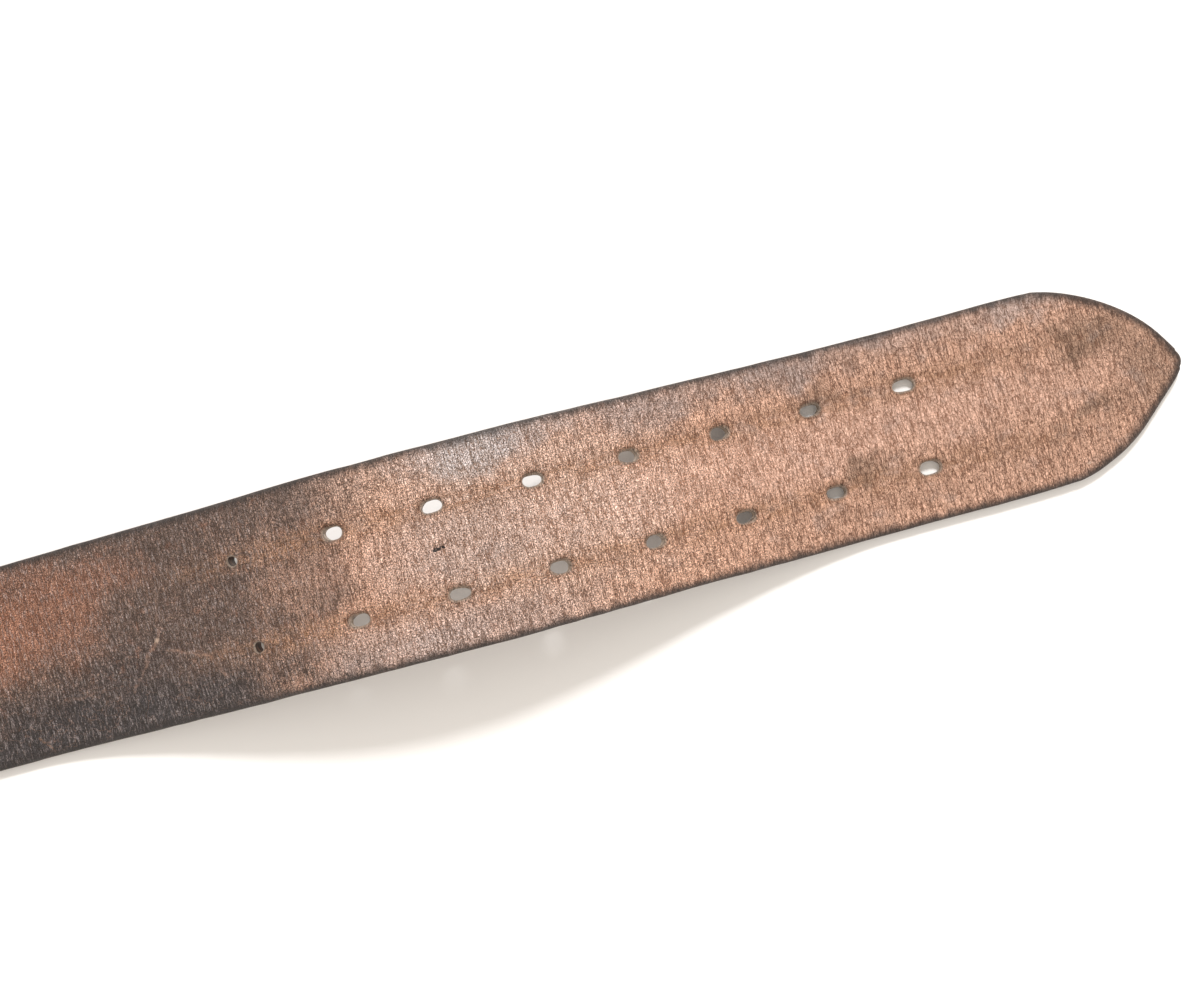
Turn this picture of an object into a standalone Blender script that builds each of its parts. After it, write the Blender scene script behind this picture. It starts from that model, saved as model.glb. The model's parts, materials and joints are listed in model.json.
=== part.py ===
"""Hanging leather strop made from a two-prong belt: strap, captured keeper and roller buckle.

Metres, +Z up. X runs along the strap, with the pointed end at +X and the buckle at -X.
The strap stands on Z = 0 with its grain side up, in the shallow arch that a worn belt keeps.
"""

import math

import bmesh
import bpy
import numpy as np
from mathutils import Matrix, Vector

MM = 0.001

# Overall layout along X
OVERALL_LENGTH = 610 * MM
TIP_X = OVERALL_LENGTH / 2
TIP_TO_BAR = 562 * MM
BAR_X = TIP_X - TIP_TO_BAR

# Strap
WIDTH = 51 * MM
THICKNESS = 3.6 * MM
EDGE_CHAMFER = 0.7 * MM
POINT_LENGTH = 33.8 * MM
POINT_ARC_RADIUS = 51 * MM
POINT_NOSE_RADIUS = 3.5 * MM
NOSE_CUT_BACK = 0.8 * MM
NOSE_FLAT = 1.0 * MM
ARCH_START = 80 * MM
ARCH_SPAN = 235 * MM
ARCH_HEIGHT = 26 * MM

# Prong holes: eight pairs, the last pair small and never stretched by wear
HOLE_PAIRS = 8
HOLE_PITCH = 25.4 * MM
LAST_PAIR_EXTRA = 1.9 * MM
FIRST_PAIR = 71.2 * MM
ROW_SPACING = 22.3 * MM
ROW_CENTRE_Y = -0.6 * MM
NEAR_ROW_LEAD = 1.2 * MM
HOLE_LENGTH = 5.1 * MM
HOLE_WIDTH = 3.0 * MM
SMALL_HOLE_DIAMETER = 2.2 * MM

# Running gaps between separate pieces
GAP = 0.3 * MM
FLAT_GAP = 0.15 * MM

# Turned-back end around the heel bar
BAR_RADIUS = 2.5 * MM
LAP_THICKNESS = 2.4 * MM
LAP_LENGTH = 64 * MM
LAP_SKIVE_LENGTH = 9 * MM
LAP_END_THICKNESS = 1.2 * MM
FOLD_MID_RADIUS = BAR_RADIUS + GAP + LAP_THICKNESS / 2
FOLD_CLOSING = 14 * MM
STRAP_DESCENT = 72 * MM
SLOT_WIDTH = 5.6 * MM
SLOT_REACH = 11.5 * MM

# Keeper
KEEPER_THICKNESS = 2.4 * MM
KEEPER_WIDTH = 14 * MM
KEEPER_FROM_BAR = 37 * MM
KEEPER_SIDE_GAP = 0.6 * MM
KEEPER_TONGUE_ROOM = 4.6 * MM
KEEPER_CORNER = 2 * MM
KEEPER_BUTT_GAP = 0.3 * MM
STAPLE_WIRE_RADIUS = 0.45 * MM
STAPLE_SPAN = 10 * MM

# Heights of the two layers behind the buckle
LAP_Z = KEEPER_THICKNESS + GAP + LAP_THICKNESS / 2
UPPER_Z = LAP_Z + LAP_THICKNESS / 2 + GAP + THICKNESS / 2
UPPER_TOP_Z = UPPER_Z + THICKNESS / 2
LAP_BOTTOM_Z = LAP_Z - LAP_THICKNESS / 2
BAR_Z = (LAP_Z + UPPER_Z) / 2

# Buckle
ROLLER_RADIUS = 3.9 * MM
ROLLER_LENGTH = 44 * MM
FRAME_ROD_RADIUS = 2.5 * MM
FRAME_CORNER = 6 * MM
ARM_Y = WIDTH / 2 + 0.9 * MM + FRAME_ROD_RADIUS
EYE_RADIUS = 4.6 * MM
EYE_WIDTH = 2 * FRAME_ROD_RADIUS
BAR_HEAD_RADIUS = 3.3 * MM
BAR_HEAD_HEIGHT = 0.9 * MM
ROLLER_X = -OVERALL_LENGTH / 2 + ROLLER_RADIUS
ROLLER_Z = ROLLER_RADIUS
BUCKLE_REACH = math.hypot(BAR_X - ROLLER_X, BAR_Z - ROLLER_Z)
BUCKLE_DROOP = math.asin((BAR_Z - ROLLER_Z) / BUCKLE_REACH)

# Prongs
PRONG_WIDTH = 4.2 * MM
PRONG_THICKNESS = 1.8 * MM
PRONG_TIP_WIDTH = 3.0 * MM
PRONG_OVERHANG = 3.2 * MM
PRONG_CURL_DEGREES = 255
PRONG_REST_GAP = 0.2 * MM

# Rivets, with burrs under the lap
RIVET_PAIRS_FROM_BAR = (20 * MM, 54 * MM)
RIVET_Y = 17.5 * MM
RIVET_HEAD_RADIUS = 4.4 * MM
RIVET_HEAD_HEIGHT = 1.0 * MM
RIVET_SHANK_RADIUS = 1.8 * MM
BURR_RADIUS = 4.0 * MM
BURR_THICKNESS = 0.8 * MM
PEEN_RADIUS = 2.6 * MM
PEEN_HEIGHT = 0.5 * MM

PATH_STEP = 0.25 * MM
STATION_STEP = 5 * MM
FINE_STEP = 1.0 * MM
ROUND_SIDES = 32


def clear_scene():
    for obj in list(bpy.data.objects):
        bpy.data.objects.remove(obj, do_unlink=True)


def material(name, colour, roughness, metallic):
    made = bpy.data.materials.new(name)
    made.use_nodes = True
    shader = made.node_tree.nodes["Principled BSDF"]
    shader.inputs["Base Color"].default_value = (*colour, 1)
    shader.inputs["Roughness"].default_value = roughness
    shader.inputs["Metallic"].default_value = metallic
    return made


def new_object(name, mesh, finish=None, parent=None):
    obj = bpy.data.objects.new(name, mesh)
    bpy.context.scene.collection.objects.link(obj)
    if finish:
        mesh.materials.append(finish)
    obj.parent = parent
    return obj


def object_from_bmesh(name, bm, finish=None, parent=None):
    bmesh.ops.recalc_face_normals(bm, faces=bm.faces)
    mesh = bpy.data.meshes.new(name)
    bm.to_mesh(mesh)
    bm.free()
    return new_object(name, mesh, finish, parent)


def shade_round(obj, degrees=35):
    obj.data.shade_smooth()
    obj.data.set_sharp_from_angle(angle=math.radians(degrees))


def smoothstep(t):
    t = np.clip(t, 0, 1)
    return t * t * (3 - 2 * t)


def evaluated_mesh(obj):
    bpy.context.view_layer.update()
    graph = bpy.context.evaluated_depsgraph_get()
    return bpy.data.meshes.new_from_object(obj.evaluated_get(graph))


def add_boolean(obj, cutter, operation="DIFFERENCE"):
    modifier = obj.modifiers.new(cutter.name, "BOOLEAN")
    modifier.object = cutter
    modifier.operation = operation
    modifier.solver = "EXACT"


def as_helper(obj):
    obj.hide_render = True
    obj.display_type = "WIRE"
    return obj


def bake_modifiers(obj, helpers):
    """Replaces the object's mesh with its evaluated one, and removes the helpers that shaped it."""
    mesh = evaluated_mesh(obj)
    obj.modifiers.clear()
    obj.data = mesh
    for helper in helpers:
        bpy.data.objects.remove(helper, do_unlink=True)


def prism(bm, outline, low, high, axes):
    """A straight prism of a closed 2-D outline. axes maps (u, v, w) to a point, w from low to high."""
    bottom = [bm.verts.new(axes(u, v, low)) for u, v in outline]
    top = [bm.verts.new(axes(u, v, high)) for u, v in outline]
    bm.faces.new(bottom)
    bm.faces.new(list(reversed(top)))
    for i in range(len(outline)):
        j = (i + 1) % len(outline)
        bm.faces.new((bottom[i], top[i], top[j], bottom[j]))


def oval(length, width, sides=24):
    """A slot outline with round ends, centred on the origin and long in u."""
    radius = width / 2
    shift = (length - width) / 2
    points = []
    for k in range(sides):
        angle = 2 * math.pi * (k + 0.5) / sides
        side = 1 if math.cos(angle) > 0 else -1
        points.append((side * shift + radius * math.cos(angle), radius * math.sin(angle)))
    return points


def lathe(bm, profile, centre, axis, sides=ROUND_SIDES):
    """Turns a closed profile of (radius, height) about an axis through centre."""
    turn = Vector((0, 0, 1)).rotation_difference(Vector(axis)).to_matrix().to_4x4()
    place = Matrix.Translation(centre) @ turn
    rings = []
    for k in range(sides):
        angle = 2 * math.pi * k / sides
        c, s = math.cos(angle), math.sin(angle)
        rings.append([bm.verts.new(place @ Vector((r * c, r * s, h))) for r, h in profile])
    for k in range(sides):
        a, b = rings[k], rings[(k + 1) % sides]
        for i in range(len(profile)):
            j = (i + 1) % len(profile)
            bm.faces.new((a[i], a[j], b[j], b[i]))
    bmesh.ops.remove_doubles(bm, verts=bm.verts, dist=1e-6)


# --- Strap -----------------------------------------------------------------


def upper_height(x):
    """Mid-thickness height of the strap's upper layer at a distance x behind the heel bar."""
    from_tip = TIP_TO_BAR - x
    arch = np.clip((from_tip - ARCH_START) / ARCH_SPAN, 0, 1)
    height = THICKNESS / 2 + ARCH_HEIGHT * np.sin(math.pi * arch) ** 2
    descent = smoothstep(1 - (x - LAP_LENGTH) / STRAP_DESCENT)
    height += (UPPER_Z - THICKNESS / 2) * descent
    fold_top = BAR_Z + FOLD_MID_RADIUS
    return height + (fold_top - UPPER_Z) * (1 - smoothstep(x / FOLD_CLOSING))


def lap_height(x):
    fold_bottom = BAR_Z - FOLD_MID_RADIUS
    return fold_bottom + (LAP_Z - fold_bottom) * smoothstep(x / FOLD_CLOSING)


def strap_path():
    """Dense mid-thickness path (x, z) from the tip, round the heel bar, to the end of the lap."""
    upper = np.arange(TIP_TO_BAR, 0, -PATH_STEP)
    upper_points = np.stack([BAR_X + upper, upper_height(upper)], axis=1)
    turn = np.linspace(math.pi / 2, 3 * math.pi / 2, 60)
    fold_x = BAR_X + FOLD_MID_RADIUS * np.cos(turn)
    fold_z = BAR_Z + FOLD_MID_RADIUS * np.sin(turn)
    lap = np.arange(PATH_STEP, LAP_LENGTH, PATH_STEP)
    lap_points = np.stack([BAR_X + lap, lap_height(lap)], axis=1)
    return np.concatenate([upper_points, np.stack([fold_x, fold_z], axis=1), lap_points])


class StrapPath:
    """Maps a place on the flat strip (distance from the tip, height off mid-thickness) to (x, z)."""

    def __init__(self):
        self.points = strap_path()
        steps = np.linalg.norm(np.diff(self.points, axis=0), axis=1)
        self.along = np.concatenate([[0], np.cumsum(steps)])
        self.length = self.along[-1]
        tangent = np.gradient(self.points, self.along, axis=0)
        tangent /= np.linalg.norm(tangent, axis=1)[:, None]
        self.normal = np.stack([tangent[:, 1], -tangent[:, 0]], axis=1)
        self.fold = self.along[np.argmin(self.points[:, 0])]

    def place(self, s, n):
        x, z = (np.interp(s, self.along, self.points[:, k]) for k in (0, 1))
        nx, nz = (np.interp(s, self.along, self.normal[:, k]) for k in (0, 1))
        return x + nx * n, z + nz * n

    def upper_s(self, from_bar):
        """Distance along the strip of the upper layer's point that lies from_bar behind the bar."""
        upper = self.along < self.fold
        x = self.points[upper, 0] - BAR_X
        return float(np.interp(-from_bar, -x, self.along[upper]))

    def lap_s(self, from_bar):
        lap = self.along > self.fold
        x = self.points[lap, 0] - BAR_X
        return float(np.interp(from_bar, x, self.along[lap]))


def point_outline(s):
    """Half width of the strap at a distance s from the tip: an ogive point with a round nose."""
    half = WIDTH / 2
    chord = math.hypot(POINT_LENGTH, half)
    rise = math.sqrt(POINT_ARC_RADIUS**2 - (chord / 2) ** 2) / chord
    centre_s = POINT_LENGTH / 2 + half * rise
    centre_y = half / 2 - POINT_LENGTH * rise
    apex = s + NOSE_CUT_BACK
    ogive = centre_y + np.sqrt(np.maximum(POINT_ARC_RADIUS**2 - (apex - centre_s) ** 2, 0))
    nose = np.sqrt(np.maximum(POINT_NOSE_RADIUS**2 - (s - POINT_NOSE_RADIUS) ** 2, 0))
    outline = np.where(s < NOSE_CUT_BACK, np.clip(nose, NOSE_FLAT / 2, ogive), ogive)
    return np.where(apex < POINT_LENGTH, outline, half)


def strip_thickness(s, path):
    """Full thickness up to the fold, skived around the bar and again at the end of the lap."""
    thin_start = path.upper_s(FOLD_CLOSING)
    thin_end = path.upper_s(4 * MM)
    body = THICKNESS + (LAP_THICKNESS - THICKNESS) * smoothstep(
        (s - thin_start) / (thin_end - thin_start)
    )
    to_end = (path.length - s) / LAP_SKIVE_LENGTH
    return body - (LAP_THICKNESS - LAP_END_THICKNESS) * (1 - smoothstep(to_end))


def strip_stations(path):
    """Distances along the strip at which it gets a cross-section, closer where it bends."""
    nose = [0, 0.3, 0.8, 1.6, 2.6, 4, 6, 8.5, 11.5, 15, 19, 23, 27, 30]
    shoulder = POINT_LENGTH - NOSE_CUT_BACK
    stops = [(shoulder, STATION_STEP), (path.upper_s(FOLD_CLOSING + 2 * MM), FINE_STEP)]
    stops += [(path.lap_s(FOLD_CLOSING + 2 * MM), STATION_STEP)]
    stops += [(path.length - LAP_SKIVE_LENGTH, 3 * MM), (path.length, None)]
    stations = [s * MM for s in nose]
    for (start, step), (end, _) in zip(stops, stops[1:]):
        stations += list(np.linspace(start, end, round((end - start) / step), endpoint=False))
    return np.array(stations + [path.length])


def flat_strip(path):
    """The strip before it is bent: x is the distance from the tip and z the height off mid-thickness."""
    stations = strip_stations(path)
    halves = point_outline(stations)
    depths = strip_thickness(stations, path) / 2
    bm = bmesh.new()
    rings = []
    for s, half, depth in zip(stations, halves, depths):
        edge = min(EDGE_CHAMFER, 0.4 * half, 0.5 * depth)
        corners = [(half - edge, depth), (half, depth - edge), (half, edge - depth)]
        corners += [(half - edge, -depth)]
        ring = corners + [(-y, z) for y, z in reversed(corners)]
        rings.append([bm.verts.new((s, y, z)) for y, z in ring])
    for a, b in zip(rings, rings[1:]):
        for i in range(len(a)):
            j = (i + 1) % len(a)
            bm.faces.new((a[i], a[j], b[j], b[i]))
    bm.faces.new(rings[0])
    bm.faces.new(rings[-1])
    return object_from_bmesh("strap", bm)


def prong_holes():
    """(distance from the tip, y, length, width) of each of the prong holes."""
    for pair in range(HOLE_PAIRS):
        small = pair == HOLE_PAIRS - 1
        length = SMALL_HOLE_DIAMETER if small else HOLE_LENGTH
        width = SMALL_HOLE_DIAMETER if small else HOLE_WIDTH
        s = FIRST_PAIR + pair * HOLE_PITCH + (LAST_PAIR_EXTRA if small else 0)
        yield s, ROW_CENTRE_Y + ROW_SPACING / 2, length, width
        yield s - NEAR_ROW_LEAD, ROW_CENTRE_Y - ROW_SPACING / 2, length, width


def strap_cutters(path):
    """Every hole in the flat strip: prong holes, rivet holes in both layers, and two prong slots."""
    holes = list(prong_holes())
    rivet_hole = 2 * (RIVET_SHANK_RADIUS + GAP)
    for from_bar in RIVET_PAIRS_FROM_BAR:
        for y in (-RIVET_Y, RIVET_Y):
            holes.append((path.upper_s(from_bar), y, rivet_hole, rivet_hole))
            holes.append((path.lap_s(from_bar), y, rivet_hole, rivet_hole))
    slot_start, slot_end = path.upper_s(SLOT_REACH), path.lap_s(SLOT_REACH)
    slot_middle, slot_length = (slot_start + slot_end) / 2, slot_end - slot_start
    for y in (-ROW_SPACING / 2, ROW_SPACING / 2):
        holes.append((slot_middle, y, slot_length, SLOT_WIDTH))
    bm = bmesh.new()
    for s, y, length, width in holes:
        outline = [(s + u, y + v) for u, v in oval(length, width)]
        prism(bm, outline, -THICKNESS, THICKNESS, lambda u, v, w: (u, v, w))
    return as_helper(object_from_bmesh("punches", bm))


def split_long_faces(obj, path):
    """Cuts the punched strip across at each station in the fold, so that it can bend there."""
    bm = bmesh.new()
    bm.from_mesh(obj.data)
    start, end = path.upper_s(FOLD_CLOSING), path.lap_s(FOLD_CLOSING)
    for s in np.linspace(start, end, round((end - start) / FINE_STEP)):
        geometry = bm.verts[:] + bm.edges[:] + bm.faces[:]
        bmesh.ops.bisect_plane(bm, geom=geometry, plane_co=(s, 0, 0), plane_no=(1, 0, 0), dist=1e-7)
    bmesh.ops.triangulate(bm, faces=bm.faces)
    bm.to_mesh(obj.data)
    bm.free()


def make_strap(leather):
    path = StrapPath()
    strap = flat_strip(path)
    punches = strap_cutters(path)
    add_boolean(strap, punches)
    bake_modifiers(strap, [punches])
    split_long_faces(strap, path)
    for vertex in strap.data.vertices:
        s, y, n = vertex.co
        x, z = path.place(s, n)
        vertex.co = (x, y, z)
    strap.data.flip_normals()
    strap.data.materials.append(leather)
    shade_round(strap, 30)
    return strap


# --- Keeper ----------------------------------------------------------------


def rounded_rectangle(half_width, low, high, radius, segments=6):
    """Outline (y, z) of a rectangle with round corners, starting at its bottom centre."""
    points = [(0, low)]
    centres = [(1, low + radius, -90), (1, high - radius, 0), (-1, high - radius, 90)]
    centres.append((-1, low + radius, 180))
    for side, z, start in centres:
        for k in range(segments + 1):
            angle = math.radians(start + 90 * k / segments)
            y = side * (half_width - radius) + radius * math.cos(angle)
            points.append((y, z + radius * math.sin(angle)))
    return points


def make_keeper(leather, steel):
    """A leather band whose ends butt under the strap, where a staple holds them."""
    inner_half = WIDTH / 2 + KEEPER_SIDE_GAP
    inner_top = UPPER_TOP_Z + KEEPER_TONGUE_ROOM
    outer_corner = KEEPER_CORNER + KEEPER_THICKNESS
    inner = rounded_rectangle(inner_half, KEEPER_THICKNESS, inner_top, KEEPER_CORNER)
    outer = rounded_rectangle(
        inner_half + KEEPER_THICKNESS, 0, inner_top + KEEPER_THICKNESS, outer_corner
    )
    inner[0] = (KEEPER_BUTT_GAP / 2, KEEPER_THICKNESS)
    outer[0] = (KEEPER_BUTT_GAP / 2, 0)
    inner.append((-KEEPER_BUTT_GAP / 2, KEEPER_THICKNESS))
    outer.append((-KEEPER_BUTT_GAP / 2, 0))
    x = BAR_X + KEEPER_FROM_BAR
    half = KEEPER_WIDTH / 2
    bm = bmesh.new()
    prism(bm, outer + inner[::-1], x - half, x + half, lambda u, v, w: (w, u, v))
    keeper = object_from_bmesh("keeper", bm, leather)

    pocket_depth = 2 * STAPLE_WIRE_RADIUS + GAP
    crown_z = KEEPER_THICKNESS - pocket_depth / 2
    leg_room = STAPLE_WIRE_RADIUS + GAP
    pocket = oval(STAPLE_SPAN + 4 * leg_room, 2 * leg_room, 16)
    bm = bmesh.new()
    low = KEEPER_THICKNESS - pocket_depth
    prism(bm, pocket, low, KEEPER_THICKNESS + MM, lambda u, v, w: (x + v, u, w))
    pocket_cutter = as_helper(object_from_bmesh("staple_pocket", bm))
    cutters = [pocket_cutter]
    for side in (-1, 1):
        bm = bmesh.new()
        leg_y = side * STAPLE_SPAN / 2
        leg = [(x + v, leg_y + u) for u, v in oval(2 * leg_room, 2 * leg_room, 12)]
        prism(bm, leg, -MM, KEEPER_THICKNESS - pocket_depth / 2, lambda u, v, w: (u, v, w))
        cutters.append(as_helper(object_from_bmesh(f"staple_leg_{side}", bm)))
    for cutter in cutters:
        add_boolean(keeper, cutter)
    bake_modifiers(keeper, cutters)
    shade_round(keeper)

    curve = bpy.data.curves.new("keeper_staple", "CURVE")
    curve.dimensions = "3D"
    curve.bevel_depth = STAPLE_WIRE_RADIUS
    curve.bevel_resolution = 2
    curve.use_fill_caps = True
    legs = STAPLE_SPAN / 2
    route = [(-legs, GAP), (-legs, crown_z - 0.4 * MM), (-legs + 0.4 * MM, crown_z)]
    route += [(-y, z) for y, z in reversed(route)]
    spline = curve.splines.new("POLY")
    spline.points.add(len(route) - 1)
    for point, (y, z) in zip(spline.points, route):
        point.co = (x, y, z, 1)
    new_object("keeper_staple", curve, steel)


# --- Buckle ----------------------------------------------------------------


def frame_rod(name, path):
    """A round rod along an open path, as a mesh."""
    curve = bpy.data.curves.new(name, "CURVE")
    curve.dimensions = "3D"
    curve.bevel_depth = FRAME_ROD_RADIUS
    curve.bevel_resolution = 5
    curve.use_fill_caps = True
    spline = curve.splines.new("POLY")
    spline.points.add(len(path) - 1)
    for point, position in zip(spline.points, path):
        point.co = (*position, 1)
    helper = new_object(name + "_path", curve)
    mesh = evaluated_mesh(helper)
    bpy.data.objects.remove(helper, do_unlink=True)
    bm = bmesh.new()
    bm.from_mesh(mesh)
    bmesh.ops.remove_doubles(bm, verts=bm.verts, dist=1e-6)
    return object_from_bmesh(name, bm)


def frame_path():
    """Centreline of the U-shaped frame in the buckle's own frame, with its origin on the heel bar."""
    corner_x = FRAME_CORNER - BUCKLE_REACH
    points = [(-EYE_RADIUS * 0.5, -ARM_Y, 0)]
    for side, start in ((-1, 270), (1, 180)):
        for k in range(9):
            angle = math.radians(start - 90 * k / 8)
            x = corner_x + FRAME_CORNER * math.cos(angle)
            y = side * (ARM_Y - FRAME_CORNER) + FRAME_CORNER * math.sin(angle)
            points.append((x, y, 0))
    points.append((-EYE_RADIUS * 0.5, ARM_Y, 0))
    return points


def cylinder(name, radius, length, centre, chamfer=0.0):
    """A cylinder along Y, with chamfered ends where asked."""
    bm = bmesh.new()
    half = length / 2
    profile = [(0, -half), (radius - chamfer, -half)]
    if chamfer:
        profile += [(radius, chamfer - half), (radius, half - chamfer)]
    profile += [(radius - chamfer, half), (0, half)]
    lathe(bm, profile, centre, (0, 1, 0))
    return object_from_bmesh(name, bm)


def make_frame(pivot, brass):
    frame = frame_rod("buckle_frame", frame_path())
    eyes = [
        cylinder(f"eye_{side}", EYE_RADIUS, EYE_WIDTH, (0, side * ARM_Y, 0), 0.5 * MM)
        for side in (-1, 1)
    ]
    bore = cylinder("bar_bore", BAR_RADIUS + FLAT_GAP, 2 * WIDTH, (0, 0, 0))
    for eye in eyes:
        add_boolean(frame, as_helper(eye), "UNION")
    add_boolean(frame, as_helper(bore))
    bake_modifiers(frame, [*eyes, bore])
    frame.data.materials.append(brass)
    frame.parent = pivot
    shade_round(frame)


def make_heel_bar(pivot, steel):
    """The pin through both eyes, peened over at each end."""
    end = ARM_Y + EYE_WIDTH / 2 + FLAT_GAP
    half = end + BAR_HEAD_HEIGHT
    rim = 0.3 * MM
    crown = BAR_HEAD_RADIUS - 1.2 * MM
    profile = [(0, -half), (crown, -half), (BAR_HEAD_RADIUS, -end - rim)]
    profile += [(BAR_HEAD_RADIUS, -end), (BAR_RADIUS, -end)]
    profile += [(r, -h) for r, h in reversed(profile)]
    bm = bmesh.new()
    lathe(bm, profile, (0, 0, 0), (0, 1, 0))
    shade_round(object_from_bmesh("heel_bar", bm, steel, pivot))


def make_roller(pivot, brass):
    """The sheet-metal tube that turns on the frame's front bar."""
    bore = FRAME_ROD_RADIUS + GAP
    half = ROLLER_LENGTH / 2
    lip = 0.3 * MM
    profile = [(bore, -half), (ROLLER_RADIUS - lip, -half), (ROLLER_RADIUS, lip - half)]
    profile += [(r, -h) for r, h in reversed(profile)]
    bm = bmesh.new()
    lathe(bm, profile, (0, 0, 0), (0, 1, 0))
    roller = object_from_bmesh("roller", bm, brass, pivot)
    roller.location.x = -BUCKLE_REACH
    shade_round(roller)


def prong_sections():
    """(outer point, inner point, half width) along a prong, in the buckle's own XZ plane."""
    inner = BAR_RADIUS + GAP
    outer = inner + PRONG_THICKNESS
    sections = []
    curl_steps = 22
    for k in range(curl_steps + 1):
        angle = math.radians(90 - PRONG_CURL_DEGREES * (1 - k / curl_steps))
        ray = Vector((math.cos(angle), math.sin(angle)))
        sections.append((ray * outer, ray * inner, PRONG_WIDTH / 2))
    rest_z = ROLLER_RADIUS + PRONG_REST_GAP
    for t in (0.12, 0.3, 0.5, 0.7, 0.85, 0.95, 1.0):
        x = -t * BUCKLE_REACH
        blend = float(smoothstep(t))
        low = inner + (rest_z - inner) * blend
        half = (PRONG_WIDTH + (PRONG_TIP_WIDTH - PRONG_WIDTH) * blend) / 2
        sections.append((Vector((x, low + PRONG_THICKNESS)), Vector((x, low)), half))
    nose_x = -BUCKLE_REACH - PRONG_OVERHANG
    nose_low = rest_z - 0.5 * MM
    half = PRONG_TIP_WIDTH / 2
    sections.append((Vector((nose_x, nose_low + 1.2 * MM)), Vector((nose_x, nose_low)), half - 0.5 * MM))
    return sections


def make_prong(name, y, pivot, brass):
    bm = bmesh.new()
    rings = []
    for outer, inner, half in prong_sections():
        corners = [(outer, half), (inner, half), (inner, -half), (outer, -half)]
        rings.append([bm.verts.new((p.x, w, p.y)) for p, w in corners])
    for a, b in zip(rings, rings[1:]):
        for i in range(4):
            j = (i + 1) % 4
            bm.faces.new((a[i], a[j], b[j], b[i]))
    bm.faces.new(rings[0])
    bm.faces.new(rings[-1])
    prong = object_from_bmesh(name, bm, brass, pivot)
    prong.location.y = y
    bevel = prong.modifiers.new("edges", "BEVEL")
    bevel.width = 0.35 * MM
    bevel.segments = 2
    bevel.limit_method = "ANGLE"
    bevel.angle_limit = math.radians(50)
    shade_round(prong)


# --- Rivets ----------------------------------------------------------------


def make_rivets(copper):
    """Copper rivets with their heads on the grain side and a burr under the lap."""
    shank_end = LAP_BOTTOM_Z - FLAT_GAP - BURR_THICKNESS
    head_z = UPPER_TOP_Z + FLAT_GAP
    burr_hole = RIVET_SHANK_RADIUS + FLAT_GAP
    rim = 0.35 * MM
    number = 0
    for from_bar in RIVET_PAIRS_FROM_BAR:
        for y in (-RIVET_Y, RIVET_Y):
            number += 1
            place = (BAR_X + from_bar, y, 0)
            peen_z = shank_end - FLAT_GAP
            rivet = [(0, peen_z - PEEN_HEIGHT), (PEEN_RADIUS - 0.6 * MM, peen_z - PEEN_HEIGHT)]
            rivet += [(PEEN_RADIUS, peen_z - 0.1 * MM), (PEEN_RADIUS, peen_z)]
            rivet += [(RIVET_SHANK_RADIUS, peen_z), (RIVET_SHANK_RADIUS, head_z)]
            rivet += [(RIVET_HEAD_RADIUS, head_z), (RIVET_HEAD_RADIUS, head_z + rim)]
            rivet += [(RIVET_HEAD_RADIUS * 0.72, head_z + 0.85 * RIVET_HEAD_HEIGHT)]
            rivet += [(RIVET_HEAD_RADIUS * 0.35, head_z + RIVET_HEAD_HEIGHT)]
            rivet += [(0, head_z + RIVET_HEAD_HEIGHT)]
            bm = bmesh.new()
            lathe(bm, rivet, place, (0, 0, 1), 24)
            shade_round(object_from_bmesh(f"rivet_{number}", bm, copper))
            burr = [(burr_hole, shank_end), (BURR_RADIUS - 0.25 * MM, shank_end)]
            burr += [(BURR_RADIUS, shank_end + 0.25 * MM), (BURR_RADIUS, shank_end + BURR_THICKNESS)]
            burr += [(burr_hole, shank_end + BURR_THICKNESS)]
            bm = bmesh.new()
            lathe(bm, burr, place, (0, 0, 1), 24)
            shade_round(object_from_bmesh(f"burr_{number}", bm, copper))


def main():
    clear_scene()
    strap_leather = material("strap_leather", (0.20, 0.11, 0.07), 0.62, 0.0)
    keeper_leather = material("keeper_leather", (0.11, 0.06, 0.04), 0.58, 0.0)
    brass = material("aged_brass", (0.55, 0.40, 0.20), 0.38, 1.0)
    steel = material("dull_steel", (0.42, 0.41, 0.40), 0.45, 1.0)
    copper = material("aged_copper", (0.50, 0.25, 0.15), 0.42, 1.0)

    make_strap(strap_leather)
    make_keeper(keeper_leather, steel)

    pivot = bpy.data.objects.new("buckle_pivot", None)
    bpy.context.scene.collection.objects.link(pivot)
    pivot.location = (BAR_X, 0, BAR_Z)
    pivot.rotation_euler = (0, -BUCKLE_DROOP, 0)
    make_frame(pivot, brass)
    make_heel_bar(pivot, steel)
    make_roller(pivot, brass)
    make_prong("prong_near", -ROW_SPACING / 2, pivot, brass)
    make_prong("prong_far", ROW_SPACING / 2, pivot, brass)
    make_rivets(copper)


main()
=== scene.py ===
"""Looks of the hanging strop: worn strap, keeper, rivets and roller buckle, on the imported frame.

The strap is worked out as a flat strip, in millimetres: s runs from the tip and y across it. Its
grain and flesh sides are triangulated there with their holes, and then bent along the strap's path.
"""

import functools
import json
import math

import bpy
import numpy as np
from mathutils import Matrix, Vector
from mathutils.geometry import delaunay_2d_cdt
from mathutils.kdtree import KDTree


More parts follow.
